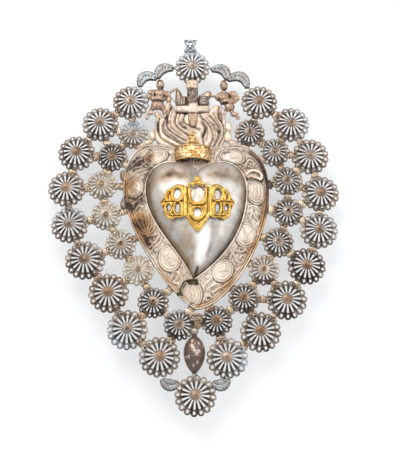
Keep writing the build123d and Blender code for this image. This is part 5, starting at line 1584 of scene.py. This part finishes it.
# lumps: pixel, half sizes in mm (across, up, forward) and height; limbs: pixels, height, radius
figures = {
    "cherubLeft": {
        "node": "cherub_left", "seed": 151, "cell": 0.30,
        "lumps": [((160.3, 85.2), (2.7, 3.5, 2.6), 3.4), ((160.0, 82.3), (2.3, 1.6, 2.0), 3.0),
                  ((161.0, 86.8), (0.5, 0.6, 0.6), 5.9), ((158.9, 93.8), (5.6, 3.2, 2.2), 2.6),
                  ((160.3, 90), (1.7, 1.6, 1.6), 2.6), ((152.0, 92.8), (3.1, 2.4, 1.3), 2.0),
                  ((150.8, 96.6), (2.7, 2.2, 1.2), 1.9), ((166.6, 94.2), (3.0, 2.4, 1.3), 2.2),
                  ((158.0, 98.8), (5.4, 3.2, 2.3), 2.6), ((157.6, 105.4), (4.6, 3.4, 2.6), 2.8),
                  ((153.2, 107.6), (2.0, 2.2, 1.9), 2.4), ((162.0, 107.4), (2.1, 2.4, 1.9), 2.4),
                  ((168.8, 99.6), (1.9, 3.0, 1.2), 1.9), ((164.6, 112.0), (1.6, 2.4, 1.3), 2.1),
                  ((150.8, 112.6), (1.7, 2.0, 1.3), 2.0), ((147.0, 118.2), (1.2, 1.2, 0.9), 1.6),
                  ((177.2, 88.2), (0.9, 0.9, 0.8), 2.2)],
        "limbs": [([(165, 93), (170, 92), (177.2, 88.3)], 2.4, 0.85),
                  ([(164, 92), (171, 97), (175.4, 103.2)], 1.9, 0.42),
                  ([(153, 108), (149, 113), (146.6, 118.8)], 2.0, 1.15),
                  ([(162, 108), (164, 113), (165.6, 117.4)], 2.0, 1.05),
                  ([(156, 99), (156.5, 103)], 2.2, 1.5), ([(148.6, 91), (153.5, 94), (158, 95.5)], 2.6, 0.5)],
        "darks": [((160.0, 81.4), (2.0, 0.9)), ((157.8, 101.2), (4.4, 0.8)), ((163.4, 88.6), (1.6, 1.0)),
                  ((154.6, 95.0), (0.7, 2.2)), ((163.6, 96.6), (0.6, 2.0))],
    },
    "cherubRight": {
        "node": "cherub_right", "seed": 157, "cell": 0.30,
        "lumps": [((223.8, 85.8), (2.6, 3.8, 2.6), 3.4), ((223.8, 82.6), (2.0, 1.5, 2.0), 3.0),
                  ((222.9, 87.2), (0.5, 0.6, 0.6), 5.8), ((224.0, 93.4), (1.7, 2.0, 1.7), 2.6),
                  ((222.4, 97.2), (5.2, 3.6, 2.4), 2.7), ((232.8, 94.4), (3.4, 2.6, 1.3), 2.1),
                  ((236.2, 98.6), (2.4, 2.4, 1.2), 1.9), ((232.4, 101.2), (3.0, 2.4, 1.3), 2.0),
                  ((227.4, 101.6), (4.8, 3.2, 2.3), 2.6), ((229.6, 107.2), (3.4, 3.2, 2.4), 2.8),
                  ((234.6, 114.6), (2.8, 1.9, 1.5), 2.2), ((238.2, 118.2), (1.6, 1.2, 1.0), 1.8),
                  ((211.6, 96.0), (0.9, 0.9, 0.8), 2.2)],
        "limbs": [([(219, 98), (215, 96.6), (211.4, 96.0)], 2.4, 0.85),
                  ([(220, 101), (222, 107), (226.4, 112.6)], 1.9, 0.42),
                  ([(230, 109), (233, 113), (237.6, 117.6)], 2.2, 1.3),
                  ([(227, 108), (225, 113), (223.4, 117.4)], 2.0, 0.95),
                  ([(224, 92), (229, 93), (235, 92)], 2.3, 0.6)],
        "darks": [((223.8, 81.8), (1.8, 0.9)), ((224.6, 103.4), (3.2, 0.8)), ((226.4, 90.0), (1.5, 0.9)),
                  ((229.6, 96.4), (0.6, 2.2)), ((219.0, 99.6), (0.6, 1.6))],
    },
}


def cavities(mesh, rounds):  # each vertex in mm, and how far it lies below its neighbours
    n = len(mesh.vertices)
    co = np.empty(n * 3)
    mesh.vertices.foreach_get("co", co)
    co = co.reshape(-1, 3) / mm
    normal = np.array([tuple(v.vector) for v in mesh.vertex_normals])
    ends = np.empty(len(mesh.edges) * 2, int)
    mesh.edges.foreach_get("vertices", ends)
    a, b = ends.reshape(-1, 2).T
    degree = np.maximum(np.bincount(a, minlength=n) + np.bincount(b, minlength=n), 1)
    mean = co.copy()
    for _ in range(rounds):
        total = np.zeros_like(mean)
        np.add.at(total, a, mean[b])
        np.add.at(total, b, mean[a])
        mean = total / degree[:, None]
    return co, np.einsum("ij,ij->i", mean - co, normal)


def makeFigure(name):
    d = figures[name]
    pile = Pile()
    for (px, py), (rx, rz, rh), h in d["lumps"]:
        x, z = seenAt(px, py, h)
        pile.add(*ball((x, z, h), (rx, rz, rh), 20, 14))
    for pixels, h, radius in d["limbs"]:
        line = smoothLine(seenLine(pixels, h), 14) if len(pixels) > 2 else spread(seenLine(pixels, h), 8)
        radii = radius * np.linspace(1.1, 0.85, len(line))
        pile.add(*tube(np.column_stack([line, np.full(len(line), h)]), radii, 12))
    rough = pile.make(name + "Lumps")
    mod = rough.modifiers.new("oneSkin", "REMESH")
    mod.mode, mod.voxel_size = "VOXEL", d["cell"] * mm
    soft = rough.modifiers.new("soft", "SMOOTH")
    soft.factor, soft.iterations = 0.5, 4
    skin = rough.evaluated_get(bpy.context.evaluated_depsgraph_get())
    piece = bpy.data.objects.new(name, bpy.data.meshes.new_from_object(skin))
    bpy.data.objects.remove(rough)
    bpy.context.scene.collection.objects.link(piece)
    mesh = piece.data
    mesh.name = name
    co, hollow = cavities(mesh, 4)
    places = np.column_stack([co[:, 0], co[:, 2]])
    grain = 0.2 * wander(co, 1.7, d["seed"], 2) + 0.08 * wander(co, 0.9, d["seed"] + 1, 1)
    normal = np.array([tuple(v.vector) for v in mesh.vertex_normals])
    co = co + normal * grain[:, None]
    co[:, 1] = np.minimum(co[:, 1], -0.15)
    mesh.vertices.foreach_set("co", (co * mm).ravel())
    tones = np.zeros((len(co), 4))
    tones[:, 0] = np.clip(hollow * 7.0, 0, 1) + 0.16 + 0.3 * np.clip(-grain * 6, 0, 1)
    for (px, py), (rx, rz) in d["darks"]:
        off = (places - np.array(seenAt(px, py, 3.5))) / (rx, rz)
        tones[:, 0] += np.exp(-(off ** 2).sum(1) * 1.2)
    tones[:, 1] = 0.2 + 0.3 * wander(places, 5, d["seed"] + 2)
    # painted highlight: the pale cream of tone 2 on the convex crests
    tones[:, 2] = np.clip(-hollow * 4.0, 0, 0.6) * (1 + 0.6 * wander(places, 4, d["seed"] + 3))
    tones[:, 3] = 1
    layer = mesh.attributes.new("tone", "FLOAT_COLOR", "POINT")
    layer.data.foreach_set("color", np.clip(tones, 0, 1).ravel())
    mesh.shade_smooth()
    mesh.update()
    finishPiece(piece, metals["warmCopper"], "copper", d["node"])


# hanging finial, drop, bead and knot

finial = {
    "outline": [(0, 2.95), (2.2, 2.9), (3.9, 2.95), (4.45, 2.5), (4.1, 1.2), (3.3, -0.6), (2.75, -2.2),
                (3.1, -3.4), (4.1, -4.6), (4.3, -5.6), (3.9, -6.35), (1.6, -6.2), (0, -6.35)],
    "holes": [((0.0, 0.0), 1.25), ((-2.75, 1.35), 0.62), ((2.5, 1.4), 0.62), ((-1.6, -2.5), 0.5),
              ((1.3, -2.2), 0.5), ((0.1, -4.3), 0.55)],
    "cuts": [([(-3.6, -3.6), (3.6, -3.6)], 0.3, -0.35), ([(-2.6, -5.3), (-1.2, -5.0)], 0.5, -0.5),
             ([(1.4, -5.2), (2.8, -5.3)], 0.5, -0.5)],
    "level": 2.6, "under": 0.3, "collar": 0.4, "spacing": 0.34,
}
pod = {"centre": (3.1, -217.4), "rx": 6.85, "rz": 11.95, "under": 0.85, "depth": 7.8, "scale": 1.5,
       "edge": 0.3, "taper": 0.18, "skew": 0.12, "rowStep": 1.75, "colStep": 2.1, "reach": 11.0,
       "wrapReach": 11.2}
beadAndKnot = {  # the bead over the pod and the knot piece over it
    "bead": (3.1, -203.0, 2.9), "beadRadii": (2.55, 2.45, 2.3), "grains": 12, "grainRing": (2.1, 2.0),
    "crown": (3.1, -203.0, 4.6), "crownRadii": (1.0, 1.0, 0.7), "neck": (3.2, -206.2, 2.3),
    "neckRadii": (1.3, 0.8, 1.2), "knot": (5.4, -194.4), "knotReach": (2.35, 2.45), "knotLevel": 2.1,
    "core": (1.6, 2.2, 1.5), "shank": [[4.2, -196.2, 1.7], [3.6, -198.2, 1.9], [3.2, -200.6, 2.2]]}


def makeFinial():
    d = finial
    half = d["outline"]
    outline = ringOf(smoothLine(np.array(half + [(-x, z) for x, z in half[-2:0:-1]], float), 130, True), 120)
    holes, strokes = [], []
    for c, r in d["holes"]:
        collar = ovalRing(c, r + d["collar"], r + d["collar"], 0, 18)
        holes.append(ovalRing(c, r, r, 0, 18))
        strokes.append((np.vstack([collar, collar[:1]]), 0.3, 0.35))
    strokes += [(np.array(spots), width, lift) for spots, width, lift in d["cuts"]]
    relievo("piercedFinial", outline, holes, d["spacing"], d["level"], d["under"], strokes, "leafSilver",
            "tarnished_silver", ["hanging_finial"], edgeRound=0.7, tone=(0.0, -0.2, 0.35), seed=161,
            rough=0.08, edgeDirt=0.3)


def makePod():
    d = pod
    cx, cz = d["centre"]
    spots = []
    for a in np.linspace(0, 2 * math.pi, 120, endpoint=False):
        wide = math.sin(a) * d["rx"] * (1 - d["taper"] * math.cos(a) ** 2) * (1 - d["skew"] * math.cos(a))
        spots.append((cx + wide, cz - math.cos(a) * d["rz"]))
    outline = ringOf(np.array(spots), 130)
    places, faces = sheetMesh(outline, [], 0.3)
    dz = np.clip((places[:, 1] - cz) / d["rz"], -1, 1)
    half = d["rx"] * np.sqrt(np.clip(1 - dz ** 2, 0.0, 1)) * (1 - d["taper"] * dz ** 2) * (1 + d["skew"] * dz)
    half += 1e-3
    across = np.clip((places[:, 0] - cx) / half, -0.999, 0.999)
    bulge = np.sqrt(np.clip(1 - across ** 2, 0, 1)) * (half / d["rx"]) ** 0.9
    height = d["under"] + d["edge"] + d["depth"] * bulge * 0.86
    wrap = np.arcsin(across) * d["rx"] * 0.95
    best, own = np.full(len(places), -1.0), np.zeros(len(places), int)
    count = 0
    for row, z in enumerate(np.arange(-d["reach"], d["reach"] + 0.1, d["rowStep"])):
        for s in np.arange(-d["wrapReach"] + (row % 2) * d["colStep"] / 2, d["wrapReach"] + 0.1,
                           d["colStep"]):
            u, v = (wrap - s) / d["scale"], (places[:, 1] - cz - z) / (d["scale"] * 1.15)
            shape = np.clip(1 - u ** 2 - v ** 2, 0, 1) ** 0.5 + 0.25 * (-v) * (u ** 2 + v ** 2 < 1)
            own = np.where(shape > best, count, own)
            best = np.maximum(best, shape)
            count += 1
    rng = np.random.default_rng(171)
    height += best - 0.6
    height += 0.3 * bump(dz + 0.2, 0.05)
    pick = rng.random(count)[own]
    tones = np.zeros((len(places), 3))
    tones[:, 0] = np.clip(0.95 - 1.1 * best, 0, 1) + 0.15
    tones[:, 1] = 0.8 * (pick > 0.72)
    # painted highlights: pale cream of tone 2 on the crests of some pearls
    tones[:, 2] = 0.85 * (pick < 0.2) * ease(0.4, 0.8, best)
    height = np.maximum(height, d["under"] + d["edge"])
    points, solid = thicken(places, faces, height, np.full(len(places), d["under"]))
    piece = makeMesh("conePod", points, solid, np.clip(np.vstack([tones, tones]), 0, 1))
    finishPiece(piece, metals["darkCone"], "tarnished_silver", "pod_drop")
    print("finial and pod made")


def makeBeadAndKnot():
    d = beadAndKnot
    bead = Pile()
    x, z, h = d["bead"]
    across, up = d["grainRing"]
    bead.add(*ball(d["bead"], d["beadRadii"], 26, 18), (0.25, 0.3, 0.2))
    for a in np.linspace(0, 2 * math.pi, d["grains"], endpoint=False):
        spot = (x + across * math.cos(a), z + up * math.sin(a), h + 0.3)
        bead.add(*ball(spot, (0.62, 0.62, 0.7), 10, 8), (0.15, 0.5, 0.0))
    bead.add(*ball(d["crown"], d["crownRadii"], 14, 8), (0.1, 0.2, 0.5))
    bead.add(*ball(d["neck"], d["neckRadii"], 14, 8), (0.5, 0.3, 0.0))
    finishPiece(bead.make("dropBead"), metals["creamSilver"], "tarnished_silver", "pod_bead")
    knot = Pile()
    x, z = d["knot"]
    across, up = d["knotReach"]
    t = np.linspace(0, 2 * math.pi, 90)
    h = d["knotLevel"] + 0.65 * np.cos(3 * t)
    line = np.column_stack([x + across * np.sin(2 * t), z + up * np.cos(t), h])
    knot.add(*tube(line, 0.85 + 0.08 * np.sin(9 * t), 12), (0.35, 0.4, 0.0))
    knot.add(*ball((x, z, 2.0), d["core"], 16, 12), (0.45, 0.5, 0.0))
    knot.add(*tube(np.array(d["shank"]), 0.7, 10), (0.5, 0.3, 0.0))
    finishPiece(knot.make("tieKnot"), metals["creamSilver"], "tarnished_silver", "tie_knot")
    print("bead and knot made")


# wire round the heart's tip, its solder, and the curled strip

tie = {"axis": 2.39, "level": -170.7, "half": 2.9, "pitch": 1.3, "turns": 2, "front": 8.25, "back": 1.75,
       "radius": 0.58, "tail": [(-4.6, -0.4), (-6.4, -1.2), (-7.6, -4.2), (-8.7, -7.2)], "fold": 0.5,
       "lift": 0.45}
solder = [  # shift, radius and tone of each blob at the wire's end
    ((0, -0.4), 2.1, (0.3, 0.1, 0.9)), ((1.3, -1.0), 1.1, (0.1, 0.1, 0.9)),
    ((-1.2, -0.2), 0.9, (0.8, 0.2, 0.2)), ((0.4, -1.6), 0.9, (0.2, 0.3, 0.9)),
]
curl = {
    "upper": [(246.5, 175.5), (249, 171.5), (254, 169.8), (259.5, 171), (262, 174.5), (260.5, 178),
              (257.5, 177.2)],
    "lower": [(247.5, 177.5), (252, 176), (257, 176.8)],
    "seen": 7.5, "upperLift": 0.9, "lowerLift": 0.6, "lowerRadius": 0.95,
}


def makeTie(surface):
    d = tie
    tipX = d["axis"]
    t = np.linspace(-0.5 * math.pi, (2 * d["turns"] + 0.35) * math.pi, 190)
    x = tipX + d["half"] * np.sign(np.sin(t)) * np.abs(np.sin(t)) ** d["fold"]
    middle, reach = (d["front"] + d["back"]) / 2, (d["front"] - d["back"]) / 2
    h = middle + reach * np.sign(np.cos(t)) * np.abs(np.cos(t)) ** d["fold"]
    z = d["level"] - d["pitch"] * (t / (2 * math.pi)) * 0.94 + 0.12 * np.sin(t * 1.3)
    turns = spread(np.column_stack([x, z, h]), 240)[::-1]
    tail = np.array([(tipX + a, d["level"] + b) for a, b in d["tail"]])
    tail = np.column_stack([tail, [surface(p) + d["lift"] for p in tail]])
    start = np.array([[tipX - d["half"] + 0.3, d["level"] - 0.15, 8.5]])
    tailLine = smoothLine(np.vstack([start + [2.0, 0, 0.2], start, tail]), 70)
    pile = Pile()
    pile.add(*tube(turns, d["radius"], 12), (0.2, 0.2, 0.0))
    pile.add(*tube(tailLine, d["radius"] * np.linspace(1, 0.8, 70), 12), (0.25, 0.3, 0.3))
    finishPiece(pile.make("wireTie"), metals["oliveWire"], "dark_wire", "wire_tie")
    end = tail[-1]
    blob = Pile()
    for (dx, dz), r, tone in solder:
        spot = np.array([end[0] + dx, end[1] + dz])
        blob.add(*domeCap(spot, r, r * 0.8, surface(spot) - 0.5, 0.5 + r * 0.5, 20, 7, 18, 0.8), tone)
    finishPiece(blob.make("solderBlob"), metals["oliveWire"], "pale_silver", "solder_blob")
    print("wire tie made")


def makeCurl(surface):  # a strip of torn sheet, bent up from the border
    d = curl
    strip = Pile()
    upper = smoothLine(seenLine(d["upper"], d["seen"]), 60)
    lift = np.array([surface(p) for p in upper]) + d["upperLift"] + 0.4 * np.sin(np.linspace(0, 3, 60))
    radii = 0.75 + 0.25 * np.sin(np.linspace(0.3, 2.8, 60))
    strip.add(*tube(np.column_stack([upper, lift]), radii, 12, 0.7), (0.0, 0.15, 0.0))
    lower = smoothLine(seenLine(d["lower"], d["seen"]), 40)
    lift = np.array([surface(p) for p in lower]) + d["lowerLift"]
    strip.add(*tube(np.column_stack([lower, lift]), d["lowerRadius"], 12, 0.6), (0.05, 0.35, 0.0))
    finishPiece(strip.make("curledStrip"), metals["borderSilver"], "pale_silver")
    print("curled strip made")


makeBrackets("topBrackets", bracket["top"], "top_brackets")
makeBrackets("bottomBrackets", bracket["bottom"], "bottom_brackets")
for name in figures:
    makeFigure(name)
print("brackets and figures made")
makeFinial()
makePod()
makeBeadAndKnot()
makeTie(borderTop)
makeCurl(borderTop)


# carried-over sheets get their own worn metal

for name in ("back_plate", "drop_hanger"):
    for place in bpy.data.objects[name].material_slots:
        place.material = metals["leafSilver"]
print("carried-over sheets finished")
